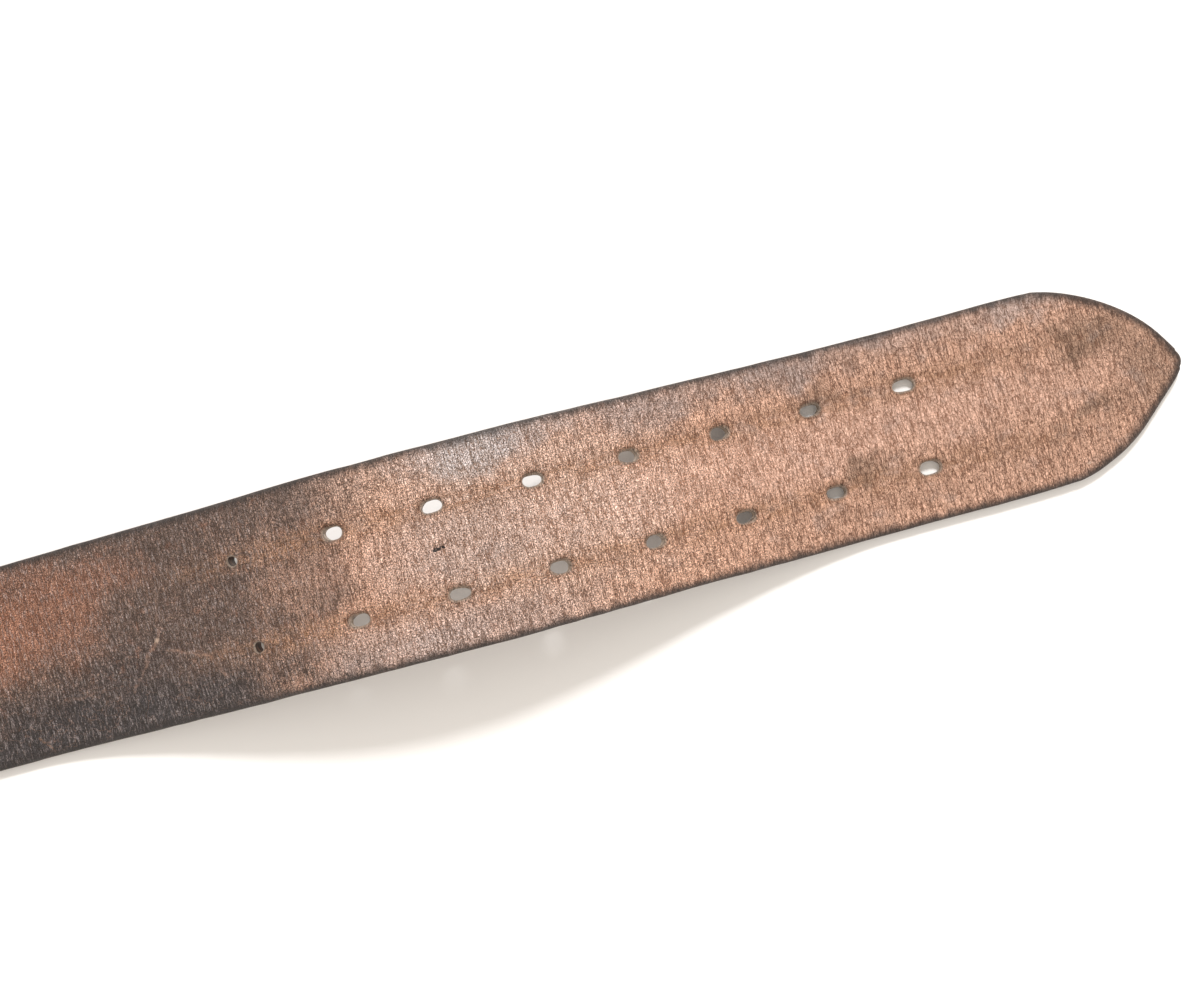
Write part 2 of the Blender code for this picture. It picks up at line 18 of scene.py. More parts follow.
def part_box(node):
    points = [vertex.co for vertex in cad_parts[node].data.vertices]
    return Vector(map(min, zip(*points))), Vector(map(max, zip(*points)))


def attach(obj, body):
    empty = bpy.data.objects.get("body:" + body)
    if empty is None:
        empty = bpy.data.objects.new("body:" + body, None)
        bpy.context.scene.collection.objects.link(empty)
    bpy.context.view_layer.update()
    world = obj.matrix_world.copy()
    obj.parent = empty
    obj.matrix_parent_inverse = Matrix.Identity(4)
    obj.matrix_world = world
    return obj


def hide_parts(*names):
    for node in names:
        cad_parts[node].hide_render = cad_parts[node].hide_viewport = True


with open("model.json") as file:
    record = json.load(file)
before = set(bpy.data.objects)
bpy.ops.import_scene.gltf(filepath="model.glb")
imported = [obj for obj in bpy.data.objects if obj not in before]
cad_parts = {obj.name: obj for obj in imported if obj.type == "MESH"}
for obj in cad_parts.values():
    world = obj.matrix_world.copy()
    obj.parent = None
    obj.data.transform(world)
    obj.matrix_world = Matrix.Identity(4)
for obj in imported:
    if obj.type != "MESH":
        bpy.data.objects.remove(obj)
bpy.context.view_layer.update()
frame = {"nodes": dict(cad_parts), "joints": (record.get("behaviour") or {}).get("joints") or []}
JOINTS = {joint["name"]: joint for joint in frame["joints"]}

MM = 0.001
TIP_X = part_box("strap")[1][0] / MM
BAR_X = JOINTS["buckle_hinge"]["pos_m"][0] / MM
BAR_Z = JOINTS["buckle_hinge"]["pos_m"][2] / MM

# The strap as the CAD has it, in mm
WIDTH = 51.0
THICKNESS = 3.6
POINT_LENGTH = 33.8
POINT_ARC_RADIUS = 51.0
NOSE_RADIUS = 3.5
NOSE_CUT_BACK = 0.8
ARCH_START = 80.0
ARCH_SPAN = 235.0
ARCH_HEIGHT = 26.0
LAP_THICKNESS = 2.4
LAP_LENGTH = 64.0
LAP_SKIVE_LENGTH = 9.0
LAP_END_THICKNESS = 1.2
FOLD_MID_RADIUS = 4.0
FOLD_CLOSING = 14.0
LAYER_GAP = 0.3
STRAP_DESCENT = 72.0
RIVET_Y = 17.5
RIVETS_FROM_BAR = (20.0, 54.0)
RIVET_HOLE = 4.2
SLOT_WIDTH = 5.6
SLOT_REACH = 11.5
HOLE_PAIRS = 8
HOLE_PITCH = 25.4
FIRST_PAIR = 71.2
ROW_SPACING = 22.3
ROW_CENTRE_Y = -0.6
NEAR_ROW_LEAD = 1.2
LAST_PAIR_EXTRA = 1.9
HOLE_LENGTH = 5.1
HOLE_WIDTH = 3.0

# The keeper and the roller as the CAD has them, in mm
KEEPER_THICKNESS = 2.4
KEEPER_MID_RADIUS = 3.2
KEEPER_BUTT_GAP = 0.3
KEEPER_CORNER = 0.95
KEEPER_CREASE = 2.1
STAPLE_SPAN = 10.0
STAPLE_WIRE = 0.9
ROLLER_RADIUS = 3.9
ROLLER_BORE = 2.8

# Wear that only the looks have, in mm; the worn stretch is the one with a finer mesh
WORN_END = 335.0
TIP_LEAN = -1.1
TIP_LEAN_LENGTH = 4.0
EDGE_ROUND = 1.15
FLESH_EDGE_ROUND = 0.9
LAP_CORNER = 1.5
FIRST_PAIR_STRETCH = 1.1
HOLE_SQUARENESS = 0.45
HOLE_LIP = 1.2
SMALL_HOLE = 2.5
SMALL_HOLE_LIP = 0.4
GROOVE_DEPTH = 0.13
SLIT_PLACE = (195.8, 0.45)
ROLLER_SEAM_DEGREES = 246
ROLLER_SEAM_GAP = 0.4

# How finely the meshes are drawn
PATH_STEP = 0.25
OUTLINE_STEP = 0.2
CLEAR_OF_EDGE = 1.9
WALL_ROWS = 4
HOLE_RIM_POINTS = 28
RIVET_RIM_POINTS = 24
SLOT_RIM_POINTS = 56
ROLLER_STATIONS = 96
NOISE_LATTICE = (509, 251)


# --- Shared helpers --------------------------------------------------------


def smoothstep(t):
    t = np.clip(t, 0, 1)
    return t * t * (3 - 2 * t)


def bell(t):
    return np.exp(-t * t)


def noise(u, v, seed):
    """Smooth random values from -1 to 1, one cell to a unit of u and v."""
    columns, rows = NOISE_LATTICE
    lattice = np.random.default_rng(seed).uniform(-1, 1, NOISE_LATTICE)
    iu, iv = np.floor(u).astype(int), np.floor(v).astype(int)
    fu, fv = smoothstep(u - iu), smoothstep(v - iv)
    corner = [[lattice[(iu + a) % columns, (iv + b) % rows] for b in (0, 1)] for a in (0, 1)]
    near = corner[0][0] * (1 - fv) + corner[0][1] * fv
    far = corner[1][0] * (1 - fv) + corner[1][1] * fv
    return near * (1 - fu) + far * fu


def arc(centre, radius, angle):
    """Points on a circle at the given angles."""
    u = centre[0] + radius * np.cos(angle)
    v = centre[1] + radius * np.sin(angle)
    return np.stack([u, v], axis=1)


def lengths_along(points):
    """Distance along a polyline from its start to each of its points."""
    steps = np.linalg.norm(np.diff(points, axis=0), axis=1)
    return np.concatenate([[0], np.cumsum(steps)])


def add_object(name, mesh, materials):
    obj = bpy.data.objects.new(name, mesh)
    bpy.context.scene.collection.objects.link(obj)
    for material in materials:
        mesh.materials.append(material)
    return obj


def add_attribute(mesh, name, values, kind, field):
    attribute = mesh.attributes.new(name, kind, "POINT")
    attribute.data.foreach_set(field, np.asarray(values, dtype=np.float32).ravel())


# --- Strap: path and flat shape --------------------------------------------


class StrapPath:
    """The bent strap's mid-thickness line, and where a place on the flat strip comes to lie."""

    lap_z = KEEPER_THICKNESS + LAYER_GAP + LAP_THICKNESS / 2
    upper_z = lap_z + LAP_THICKNESS / 2 + LAYER_GAP + THICKNESS / 2

    def __init__(self):
        reach = TIP_X - BAR_X
        upper = np.arange(reach, 0, -PATH_STEP)
        turn = np.linspace(math.pi / 2, 3 * math.pi / 2, 60)
        lap = np.arange(PATH_STEP, LAP_LENGTH, PATH_STEP)
        x = np.concatenate([upper, FOLD_MID_RADIUS * np.cos(turn), lap])
        fold_z = BAR_Z + FOLD_MID_RADIUS * np.sin(turn)
        z = np.concatenate([self.upper_height(upper, reach), fold_z, self.lap_height(lap)])
        self.points = np.stack([x, z], axis=1)
        self.along = lengths_along(self.points)
        self.length = self.along[-1]
        tangent = np.gradient(self.points, self.along, axis=0)
        tangent /= np.linalg.norm(tangent, axis=1)[:, None]
        self.normal = np.stack([tangent[:, 1], -tangent[:, 0]], axis=1)
        self.fold = self.along[np.argmin(x)]

    def upper_height(self, x, reach):
        arch = np.clip((reach - x - ARCH_START) / ARCH_SPAN, 0, 1)
        height = THICKNESS / 2 + ARCH_HEIGHT * np.sin(math.pi * arch) ** 2
        height += (self.upper_z - THICKNESS / 2) * smoothstep(1 - (x - LAP_LENGTH) / STRAP_DESCENT)
        opening = BAR_Z + FOLD_MID_RADIUS - self.upper_z
        return height + opening * (1 - smoothstep(x / FOLD_CLOSING))

    def lap_height(self, x):
        fold_bottom = BAR_Z - FOLD_MID_RADIUS
        return fold_bottom + (self.lap_z - fold_bottom) * smoothstep(x / FOLD_CLOSING)

    def upper_s(self, from_bar):
        upper = self.along < self.fold
        return float(np.interp(-from_bar, -self.points[upper, 0], self.along[upper]))

    def lap_s(self, from_bar):
        lap = self.along > self.fold
        return float(np.interp(from_bar, self.points[lap, 0], self.along[lap]))

    def thickness(self, s):
        thin_start, thin_end = self.upper_s(FOLD_CLOSING), self.upper_s(4)
        skived = smoothstep((s - thin_start) / (thin_end - thin_start))
        end = 1 - smoothstep((self.length - s) / LAP_SKIVE_LENGTH)
        body = THICKNESS + (LAP_THICKNESS - THICKNESS) * skived
        return body - (LAP_THICKNESS - LAP_END_THICKNESS) * end

    def place(self, s, y, n):
        """Metres in the object's frame, of points n above mid-thickness."""
        x, z = (np.interp(s, self.along, self.points[:, k]) for k in (0, 1))
        nx, nz = (np.interp(s, self.along, self.normal[:, k]) for k in (0, 1))
        return np.stack([BAR_X + x + nx * n, y, z + nz * n], axis=1) * MM


PATH = StrapPath()


def s_from_level(x):
    """Distance along the strap to a place at a level distance x from the tip."""
    return PATH.upper_s(TIP_X - BAR_X - x)


def half_width(s):
    """Half width of the strap: an ogive point with a round nose, then straight sides."""
    half = WIDTH / 2
    chord = math.hypot(POINT_LENGTH, half)
    rise = math.sqrt(POINT_ARC_RADIUS**2 - (chord / 2) ** 2) / chord
    centre_s = POINT_LENGTH / 2 + half * rise
    centre_y = half / 2 - POINT_LENGTH * rise
    apex = s + NOSE_CUT_BACK
    ogive = centre_y + np.sqrt(np.maximum(POINT_ARC_RADIUS**2 - (apex - centre_s) ** 2, 0))
    nose = np.sqrt(np.maximum(NOSE_RADIUS**2 - (s - NOSE_RADIUS) ** 2, 0))
    outline = np.where(s < NOSE_CUT_BACK, np.minimum(nose, ogive), ogive)
    return np.where(apex < POINT_LENGTH, outline, half) - 0.2 * bell((s - POINT_LENGTH) / 3.5)


def resample(points, spacing):
    """Points along a closed polyline, about spacing(s) apart."""
    closed = np.concatenate([points, points[:1]])
    along = lengths_along(closed)
    density = np.concatenate([[0], np.cumsum(np.diff(along) / spacing(closed[:-1, 0]))])
    count = int(round(density[-1]))
    places = np.interp(np.arange(count) * density[-1] / count, density, along)
    return np.stack([np.interp(places, along, closed[:, k]) for k in (0, 1)], axis=1)


def tip_lean(s):
    return TIP_LEAN * bell(s / TIP_LEAN_LENGTH)


def edge_wander(s, slow, fast, seed):
    """How far a hand-cut edge strays from its line, in slow and fast waves of these lengths."""
    return 0.16 * noise(s / slow, s * 0, seed) + 0.05 * noise(s / fast, s * 0, seed + 1)


def strip_outline(spacing):
    """The flat strip's outline, anticlockwise from the nose along the -Y side."""
    nose = NOSE_RADIUS * (1 - np.cos(np.linspace(0, math.pi / 2, 40)))
    straight = np.arange(NOSE_CUT_BACK, PATH.length - LAP_CORNER, OUTLINE_STEP)
    sides = np.concatenate([nose[nose < NOSE_CUT_BACK], straight])
    lean = tip_lean(sides)
    grown = smoothstep(sides / 12)
    trimmed = 0.8 * bell((sides - 8) / 6) + 0.45 * smoothstep((60 - sides) / 30) * grown
    far_y = lean + half_width(sides) + edge_wander(sides, 21, 5, 5) * grown
    near_y = lean - half_width(sides) + trimmed + edge_wander(sides, 17, 4, 3) * grown
    far = np.stack([sides, far_y], axis=1)
    near = np.stack([sides, near_y], axis=1)
    corner = np.linspace(0, math.pi / 2, 8)[1:]
    end = PATH.length - LAP_CORNER + LAP_CORNER * np.sin(corner)
    inset = LAP_CORNER * (1 - np.cos(corner))
    near_end = np.stack([end, near[-1, 1] + inset], axis=1)
    far_end = np.stack([end, far[-1, 1] - inset], axis=1)
    return resample(np.concatenate([near, near_end, far_end[::-1], far[::-1][:-1]]), spacing)


def offset_inwards(loop, distance):
    along = np.roll(loop, -1, axis=0) - np.roll(loop, 1, axis=0)
    along /= np.linalg.norm(along, axis=1)[:, None]
    return loop + distance * np.stack([-along[:, 1], along[:, 0]], axis=1)


class Hole:
    """An oval hole in the strip. The lip is how wide the wear round it is."""

    def __init__(self, s, y, length, width, lip, seed):
        self.s, self.y, self.length, self.width, self.lip = s, y, length, width, lip
        self.seed = seed

    def distance(self, s, y):
        """Distance outside the hole's wall, negative in the hole."""
        straight = max(self.length - self.width, 0) / 2
        beyond = np.maximum(np.abs(s - self.s) - straight, 0)
        return np.hypot(beyond, y - self.y) - self.width / 2

    def ring(self, outside, count):
        """A loop round the hole, this far outside its wall, anticlockwise and a little uneven."""
        angle = 2 * math.pi * (np.arange(count) + 0.5) / count
        straight = max(self.length - self.width, 0) / 2
        radius = self.width / 2 + outside
        squareness = 0.0
        if self.lip:
            uneven = 0.07 * np.sin(2 * angle + self.seed)
            uneven = uneven + 0.05 * np.sin(3 * angle + 2.3 * self.seed)
            radius = radius * (1 + uneven * math.exp(-outside))
            squareness = HOLE_SQUARENESS
        stretch = np.sign(np.cos(angle)) * np.abs(np.cos(angle)) ** squareness
        s = self.s + straight * stretch + radius * np.cos(angle)
        return np.stack([s, self.y + radius * np.sin(angle)], axis=1)


def strap_holes():
    """The prong holes, the rivet holes through both layers, and the prong slots in the fold."""
    holes = []
    for pair in range(HOLE_PAIRS):
        small = pair == HOLE_PAIRS - 1
        stretch = FIRST_PAIR_STRETCH if pair == 0 else 1.0
        length = SMALL_HOLE if small else HOLE_LENGTH * stretch
        width = SMALL_HOLE if small else HOLE_WIDTH * stretch
        s = FIRST_PAIR + pair * HOLE_PITCH + small * LAST_PAIR_EXTRA
        lip = SMALL_HOLE_LIP if small else HOLE_LIP
        for side, lead in ((1, 0), (-1, NEAR_ROW_LEAD)):
            y = ROW_CENTRE_Y + side * ROW_SPACING / 2
            holes.append(Hole(s - lead, y, length, width, lip, 1.7 * pair + side))
    for from_bar in RIVETS_FROM_BAR:
        for y in (-RIVET_Y, RIVET_Y):
            for s in (PATH.upper_s(from_bar), PATH.lap_s(from_bar)):
                holes.append(Hole(s, y, RIVET_HOLE, RIVET_HOLE, 0, 0))
    start, end = PATH.upper_s(SLOT_REACH), PATH.lap_s(SLOT_REACH)
    for y in (-ROW_SPACING / 2, ROW_SPACING / 2):
        holes.append(Hole((start + end) / 2, y, end - start, SLOT_WIDTH, 0, 0))
    return holes


# --- Strap: surface relief -------------------------------------------------


def wrinkles(s, y):
    """Fine creases that run across the strap, with low pebbling between them."""
    bend = s + 0.9 * noise(s / 6, y / 6, 11) + 0.35 * noise(s / 2.2, y / 2.2, 12)
    crease = bell(noise(bend / 1.35, y / 5.5, 13) / 0.2)
    fine = bell(noise(bend / 0.95, y / 3.2, 14) / 0.25)
    patchy = 0.65 + 0.35 * noise(s / 18, y / 14, 15)
    pebble = noise(s / 0.95, y / 1.2, 16)
    return -0.11 * crease * patchy - 0.05 * fine + 0.03 * pebble


def slit(s, y):
    """A small cut between the hole rows, 0.8 mm deep."""
    x, slit_y = SLIT_PLACE
    return -0.8 * bell((s - s_from_level(x)) / 2.0) * bell((y - slit_y) / 0.6)


def worn_grooves(s, y):
    """The shallow tracks that prongs have pressed between and beyond the holes of each row."""
    ends = smoothstep((s - 42) / 30) * smoothstep((268 - s) / 25)
    depth = 0
    for side in (-1, 1):
        track = ROW_CENTRE_Y + side * ROW_SPACING / 2 + 0.5 * noise(s / 30, s * 0, 20 + side)
        across = y - track
        depth = depth + bell(across / 1.5) - 0.35 * bell((np.abs(across) - 2.8) / 0.9)
    return -GROOVE_DEPTH * depth * ends


def grain_relief(s, y, edge, holes):
    """Height of the grain side above its nominal face."""
    inside = smoothstep((edge - 0.5) / 3)
    slow = 0.16 * noise(s / 24, y / 19, 31) + 0.07 * noise(s / 8, y / 9, 32)
    height = slow * inside + worn_grooves(s, y) + slit(s, y)
    height = height + wrinkles(s, y) * (0.25 + 0.75 * inside)
    border = np.maximum(EDGE_ROUND - edge, 0)
    height = height - EDGE_ROUND + np.sqrt(EDGE_ROUND**2 - border**2)
    for hole in holes:
        if hole.lip:
            close = np.abs(s - hole.s) < hole.length / 2 + 5
            away = hole.distance(s[close], y[close])
            raised = 0.13 * bell((away - hole.lip - 0.6) / 0.7)
            worn = np.clip(1 - away / hole.lip, 0, 1)
            height[close] += raised - hole.lip * worn**2
    return height


def flesh_relief(s, y, edge):
    """Height of the rough flesh side above its nominal face."""
    nap = 0.05 * noise(s / 1.9, y / 1.9, 41) + 0.07 * noise(s / 7, y / 6, 42)
    border = np.maximum(FLESH_EDGE_ROUND - edge, 0)
    rounding = np.sqrt(FLESH_EDGE_ROUND**2 - border**2) - FLESH_EDGE_ROUND
    return np.minimum(nap - 0.06, 0) + rounding


# --- Strap: mesh -----------------------------------------------------------


def scatter(steps, edge_tree, holes, seed):
    """Staggered points inside the strip, clear of its edges and holes.

    steps gives each stretch's end, and its spacing along and across.
    """
    rng = np.random.default_rng(seed)
    start = 0
    found = []
    for end, along, across in steps:
        columns = np.arange(start, end, along)
        rows = np.arange(-WIDTH / 2, WIDTH / 2 + across, across)
        s, y = np.meshgrid(columns, rows, indexing="ij")
        y = y + (np.arange(len(columns))[:, None] % 2) * across / 2
        s = s + rng.uniform(-0.12, 0.12, s.shape) * along
        y = y + rng.uniform(-0.12, 0.12, y.shape) * across
        found.append(np.stack([s.ravel(), y.ravel()], axis=1))
        start = end
    points = np.concatenate(found)
    s, y = points.T
    points = points[np.abs(y - tip_lean(s)) < half_width(s)]
    edge = edge_distances(points, edge_tree)
    clear = edge > CLEAR_OF_EDGE
    for hole in holes:
        away = hole.distance(points[:, 0], points[:, 1])
        clear &= away > (CLEAR_OF_EDGE if hole.lip else 0.7)
    return points[clear]


def edge_distances(points, tree):
    return np.array([tree.find((s, y, 0))[2] for s, y in points])


def edge_tree_of(outline):
    tree = KDTree(len(outline))
    for i, (s, y) in enumerate(outline):
        tree.insert((s, y, 0), i)
    tree.balance()
    return tree


class Sheet:
    """One side of the strip: a triangulation whose first points are the outline and the hole rims.

    insets are the distances of the loops inside the outline, and hole_rings of those round a hole.
    """

    def __init__(self, outline, holes, rims, insets, hole_rings, steps, tree, seed):
        loops = [outline] + rims
        extra = [offset_inwards(outline, inset) for inset in insets]
        for hole, rim in zip(holes, rims):
            for outside in hole_rings if hole.lip else hole_rings[:1]:
                extra.append(hole.ring(outside, len(rim)))
        extra.append(scatter(steps, tree, holes, seed))
        points = np.concatenate(loops + extra)
        loop_of = np.full(len(points), -1)
        edges = []
        start = 0
        for number, loop in enumerate(loops):
            loop_of[start : start + len(loop)] = number
            edges += [(start + i, start + (i + 1) % len(loop)) for i in range(len(loop))]
            start += len(loop)
        result = delaunay_2d_cdt(points.tolist(), edges, [], 1, 1e-7)
        if len(result[0]) != len(points):
            raise RuntimeError("the strip's points crowd each other")
        triangles = np.array(result[2])
        owner = loop_of[triangles]
        closed_over = (owner[:, 0] > 0) & (owner == owner[:, :1]).all(axis=1)
        self.points = points
        self.triangles = triangles[~closed_over]
        on_outline = len(outline)
        inside = edge_distances(points[on_outline:], tree)
        self.edge = np.concatenate([np.zeros(on_outline), inside])


def hole_rim(hole):
    """The loop at a hole's wall. A long slot gets evenly spaced points."""
    if hole.length <= 3 * hole.width:
        return hole.ring(0, HOLE_RIM_POINTS if hole.lip else RIVET_RIM_POINTS)
    spacing = 2 * hole.length / SLOT_RIM_POINTS
    return resample(hole.ring(0, 400), lambda s: np.full(len(s), spacing))


def wall_rows(outline, rims, top, bottom):
    """Rows of points down the cut edges, which bulge a little, and their heights."""
    points, heights = [], []
    for row in range(1, WALL_ROWS + 1):
        t = row / (WALL_ROWS + 1)
        bulge = math.sin(math.pi * t)
        loops = [offset_inwards(outline, -0.14 * bulge)]
        loops += [offset_inwards(rim, 0.06 * bulge) for rim in rims]
        points.append(np.concatenate(loops))
        heights.append(top * (1 - t) + bottom * t)
    return points, heights


def wall_faces(loops, levels):
    """Quads down the cut edges. levels says where each row's points start, from the grain down."""
    walls = []
    start = 0
    for number, count in enumerate(loops):
        ring = start + np.arange(count)
        ahead = start + (np.arange(count) + 1) % count
        for upper, lower in zip(levels, levels[1:]):
            quads = [ring + upper, ring + lower, ahead + lower, ahead + upper]
            walls.append(np.stack(quads if number == 0 else quads[::-1], axis=1))
        start += count
    return np.concatenate(walls).tolist()


def strap_mesh(detail):
    """The bent strap as one closed mesh. detail stretches the spacing of its points."""
    holes = strap_holes()
    outline = strip_outline(lambda s: np.where(s < WORN_END, 0.75, 1.5) * detail)
    tree = edge_tree_of(strip_outline(lambda s: np.full(len(s), 0.25)))
    rims = [hole_rim(hole) for hole in holes]
    grain_steps = [(WORN_END, 0.46 * detail, 0.8 * detail)]
    grain_steps.append((PATH.length, 1.1 * detail, 1.2 * detail))
    flesh_steps = [(PATH.length, 1.6 * detail, 1.5 * detail)]
    grain_insets, grain_rings = (0.3, 0.7, 1.2), (0.22, 0.5, 0.85, 1.3)
    flesh_insets, flesh_rings = (0.45, 1.0), (0.5,)
    grain = Sheet(outline, holes, rims, grain_insets, grain_rings, grain_steps, tree, 1)
    flesh = Sheet(outline, holes, rims, flesh_insets, flesh_rings, flesh_steps, tree, 2)
    s, y = grain.points.T
    top = PATH.thickness(s) / 2 + grain_relief(s, y, grain.edge, holes)
    s, y = flesh.points.T
    bottom = -PATH.thickness(s) / 2 - flesh_relief(s, y, flesh.edge)

    loops = [len(outline)] + [len(rim) for rim in rims]
    border = sum(loops)
    wall_points, wall_heights = wall_rows(outline, rims, top[:border], bottom[:border])
    points = np.concatenate([grain.points, *wall_points, flesh.points])
    heights = np.concatenate([top, *wall_heights, bottom])
    flesh_start = len(points) - len(flesh.points)
    levels = [0] + [len(grain.points) + row * border for row in range(WALL_ROWS)] + [flesh_start]
    faces = grain.triangles[:, ::-1].tolist() + wall_faces(loops, levels)
    faces += (flesh.triangles + flesh_start).tolist()

    mesh = bpy.data.meshes.new("strap_leather")
    mesh.from_pydata(PATH.place(points[:, 0], points[:, 1], heights).tolist(), [], faces)
    material = np.zeros(len(faces), dtype=np.int32)
    material[len(grain.triangles) :] = 1
    material[len(faces) - len(flesh.triangles) :] = 2
    mesh.polygons.foreach_set("material_index", material)
    add_attribute(mesh, "strip", np.column_stack([points, heights]), "FLOAT_VECTOR", "vector")
    away = np.full(len(points), 9.0)
    for hole in holes:
        away = np.minimum(away, np.abs(hole.distance(points[:, 0], points[:, 1])))
    edge = np.concatenate([grain.edge, np.zeros(WALL_ROWS * border), flesh.edge])
    add_attribute(mesh, "edge_mm", edge, "FLOAT", "value")
    add_attribute(mesh, "rim_mm", away, "FLOAT", "value")
    mesh.shade_smooth()
    mesh.validate()
    return mesh


# --- Keeper and roller -----------------------------------------------------


def swept_mesh(name, rings):
    """A closed skin over equal rings of points, capped at both ends."""
    stations, count = rings.shape[:2]
    here = np.arange(count)
    ahead = (here + 1) % count
    faces = []
    for k in range(stations - 1):
        start, end = k * count, (k + 1) * count
        faces += np.stack([start + here, start + ahead, end + ahead, end + here], axis=1).tolist()
    faces.append(here[::-1].tolist())
    faces.append((here + (stations - 1) * count).tolist())
    mesh = bpy.data.meshes.new(name)
    mesh.from_pydata((rings.reshape(-1, 3) * MM).tolist(), [], faces)
    mesh.shade_smooth()
    for cap in (-1, -2):
        mesh.polygons[cap].use_smooth = False
    return mesh


def rounded_section(half_width_mm, half_height, radius, spacing):
    """A rectangle with round corners, anticlockwise, with evenly spaced points."""
    corner = np.linspace(0, math.pi / 2, 9)
    arcs = []
    for quarter, (side, up) in enumerate(((1, 1), (-1, 1), (-1, -1), (1, -1))):
        angle = corner + quarter * math.pi / 2
        centre = (side * (half_width_mm - radius), up * (half_height - radius))
        arcs.append(arc(centre, radius, angle))
    return resample(np.concatenate(arcs), lambda u: np.full(len(u), spacing))


def keeper_route(side, bottom, top):
    """The band's mid-thickness line round four bends whose centres are at these places."""
    quarter = np.linspace(0, math.pi / 2, 25)
    route = [np.array([[KEEPER_BUTT_GAP / 2, bottom - KEEPER_MID_RADIUS]])]
    for turn, centre in enumerate(((side, bottom), (side, top), (-side, top), (-side, bottom))):
        route.append(arc(centre, KEEPER_MID_RADIUS, quarter + (turn - 1) * math.pi / 2))
    route.append(route[0] * (-1, 1))
    return np.concatenate(route)


def keeper_mesh(detail):
    """The keeper's leather band, bent round from one butted end to the other."""
    low, high = (np.array(corner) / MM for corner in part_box("keeper"))
    middle_x, half = (low[0] + high[0]) / 2, (high[0] - low[0]) / 2
    side = high[1] - KEEPER_THICKNESS / 2 - KEEPER_MID_RADIUS
    bottom = low[2] + KEEPER_THICKNESS / 2 + KEEPER_MID_RADIUS
    top = high[2] - KEEPER_THICKNESS / 2 - KEEPER_MID_RADIUS
    route = keeper_route(side, bottom, top)
    lengths = lengths_along(route)
    along = np.linspace(0, lengths[-1], int(lengths[-1] / (0.7 * detail)))
    path = np.stack([np.interp(along, lengths, route[:, k]) for k in (0, 1)], axis=1)
    tangent = np.gradient(path, axis=0)
    tangent /= np.linalg.norm(tangent, axis=1)[:, None]
    outward = np.stack([tangent[:, 1], -tangent[:, 0]], axis=1)

    section = rounded_section(half, KEEPER_THICKNESS / 2, KEEPER_CORNER, 0.45 * detail)
    across, height = section.T
    t, u = np.meshgrid(along, across, indexing="ij")
    n = np.broadcast_to(height, t.shape).copy()
    outer = smoothstep(n / KEEPER_THICKNESS + 0.5)
    edge = half - np.abs(u)
    crease = bell((edge - KEEPER_CREASE) / 0.42)
    worn = 0.10 * noise(t / 9, u / 6, 51) + 0.05 * noise(t / 2.1, u / 2.3, 52)
    n += outer * (worn - 0.3 * crease + 0.05 * bell((edge - 3.1) / 0.6))
    y, z = path[:, 0][:, None], path[:, 1][:, None]
    on_floor = smoothstep((bottom - z) / KEEPER_MID_RADIUS)
    n += (0.12 * noise(t / 14, t * 0, 53) - 0.1) * (1 - on_floor) * (1 - outer)
    beyond_staple = np.maximum(np.abs(y) - STAPLE_SPAN / 2, 0)
    crown = bell(beyond_staple / 0.5) * bell(u / (STAPLE_WIRE * 0.8))
    n += (STAPLE_WIRE + 0.35) * crown * on_floor * (1 - outer)
    n = np.where(on_floor > 0.9, np.minimum(n, KEEPER_THICKNESS / 2), n)
    u = u + 0.14 * noise(t / 16, t * 0, 54)
    rings = np.stack([middle_x + u, y + outward[:, :1] * n, z + outward[:, 1:] * n], axis=2)
    mesh = swept_mesh("keeper_band", rings[:, ::-1])
    add_attribute(mesh, "strip", np.stack([t, u, n], axis=2)[:, ::-1], "FLOAT_VECTOR", "vector")
    add_attribute(mesh, "edge_mm", np.broadcast_to(edge, t.shape)[:, ::-1], "FLOAT", "value")
    return mesh


def roller_mesh(detail):
    """Sheet brass rolled into a tube, with the seam left open a hair and the ends turned in."""
    low, high = (np.array(corner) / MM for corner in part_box("roller"))
    centre = (low + high) / 2
    half = (high[1] - low[1]) / 2
    wall = (ROLLER_RADIUS - ROLLER_BORE) / 2
    section = rounded_section(half, wall, 0.45, 0.5 * detail)
    seam = math.radians(ROLLER_SEAM_DEGREES)
    opening = ROLLER_SEAM_GAP / 2 / ROLLER_RADIUS
    stations = int(ROLLER_STATIONS / detail)
    angle = seam + np.linspace(opening, 2 * math.pi - opening, stations)
    theta, along = np.meshgrid(angle, section[:, 0], indexing="ij")
    radius = ROLLER_RADIUS - wall + np.broadcast_to(section[:, 1], theta.shape)
    dent = 0.05 * noise(along / 5, theta * 3, 61) + 0.02 * noise(along / 1.4, theta * 9, 62) - 0.04
    radius = radius + np.where(section[:, 1] > 0, dent, 0)
    x, z = centre[0] + radius * np.cos(theta), centre[2] + radius * np.sin(theta)
    return swept_mesh("roller_tube", np.stack([x, centre[1] + along, z], axis=2))


# --- Node helper -----------------------------------------------------------


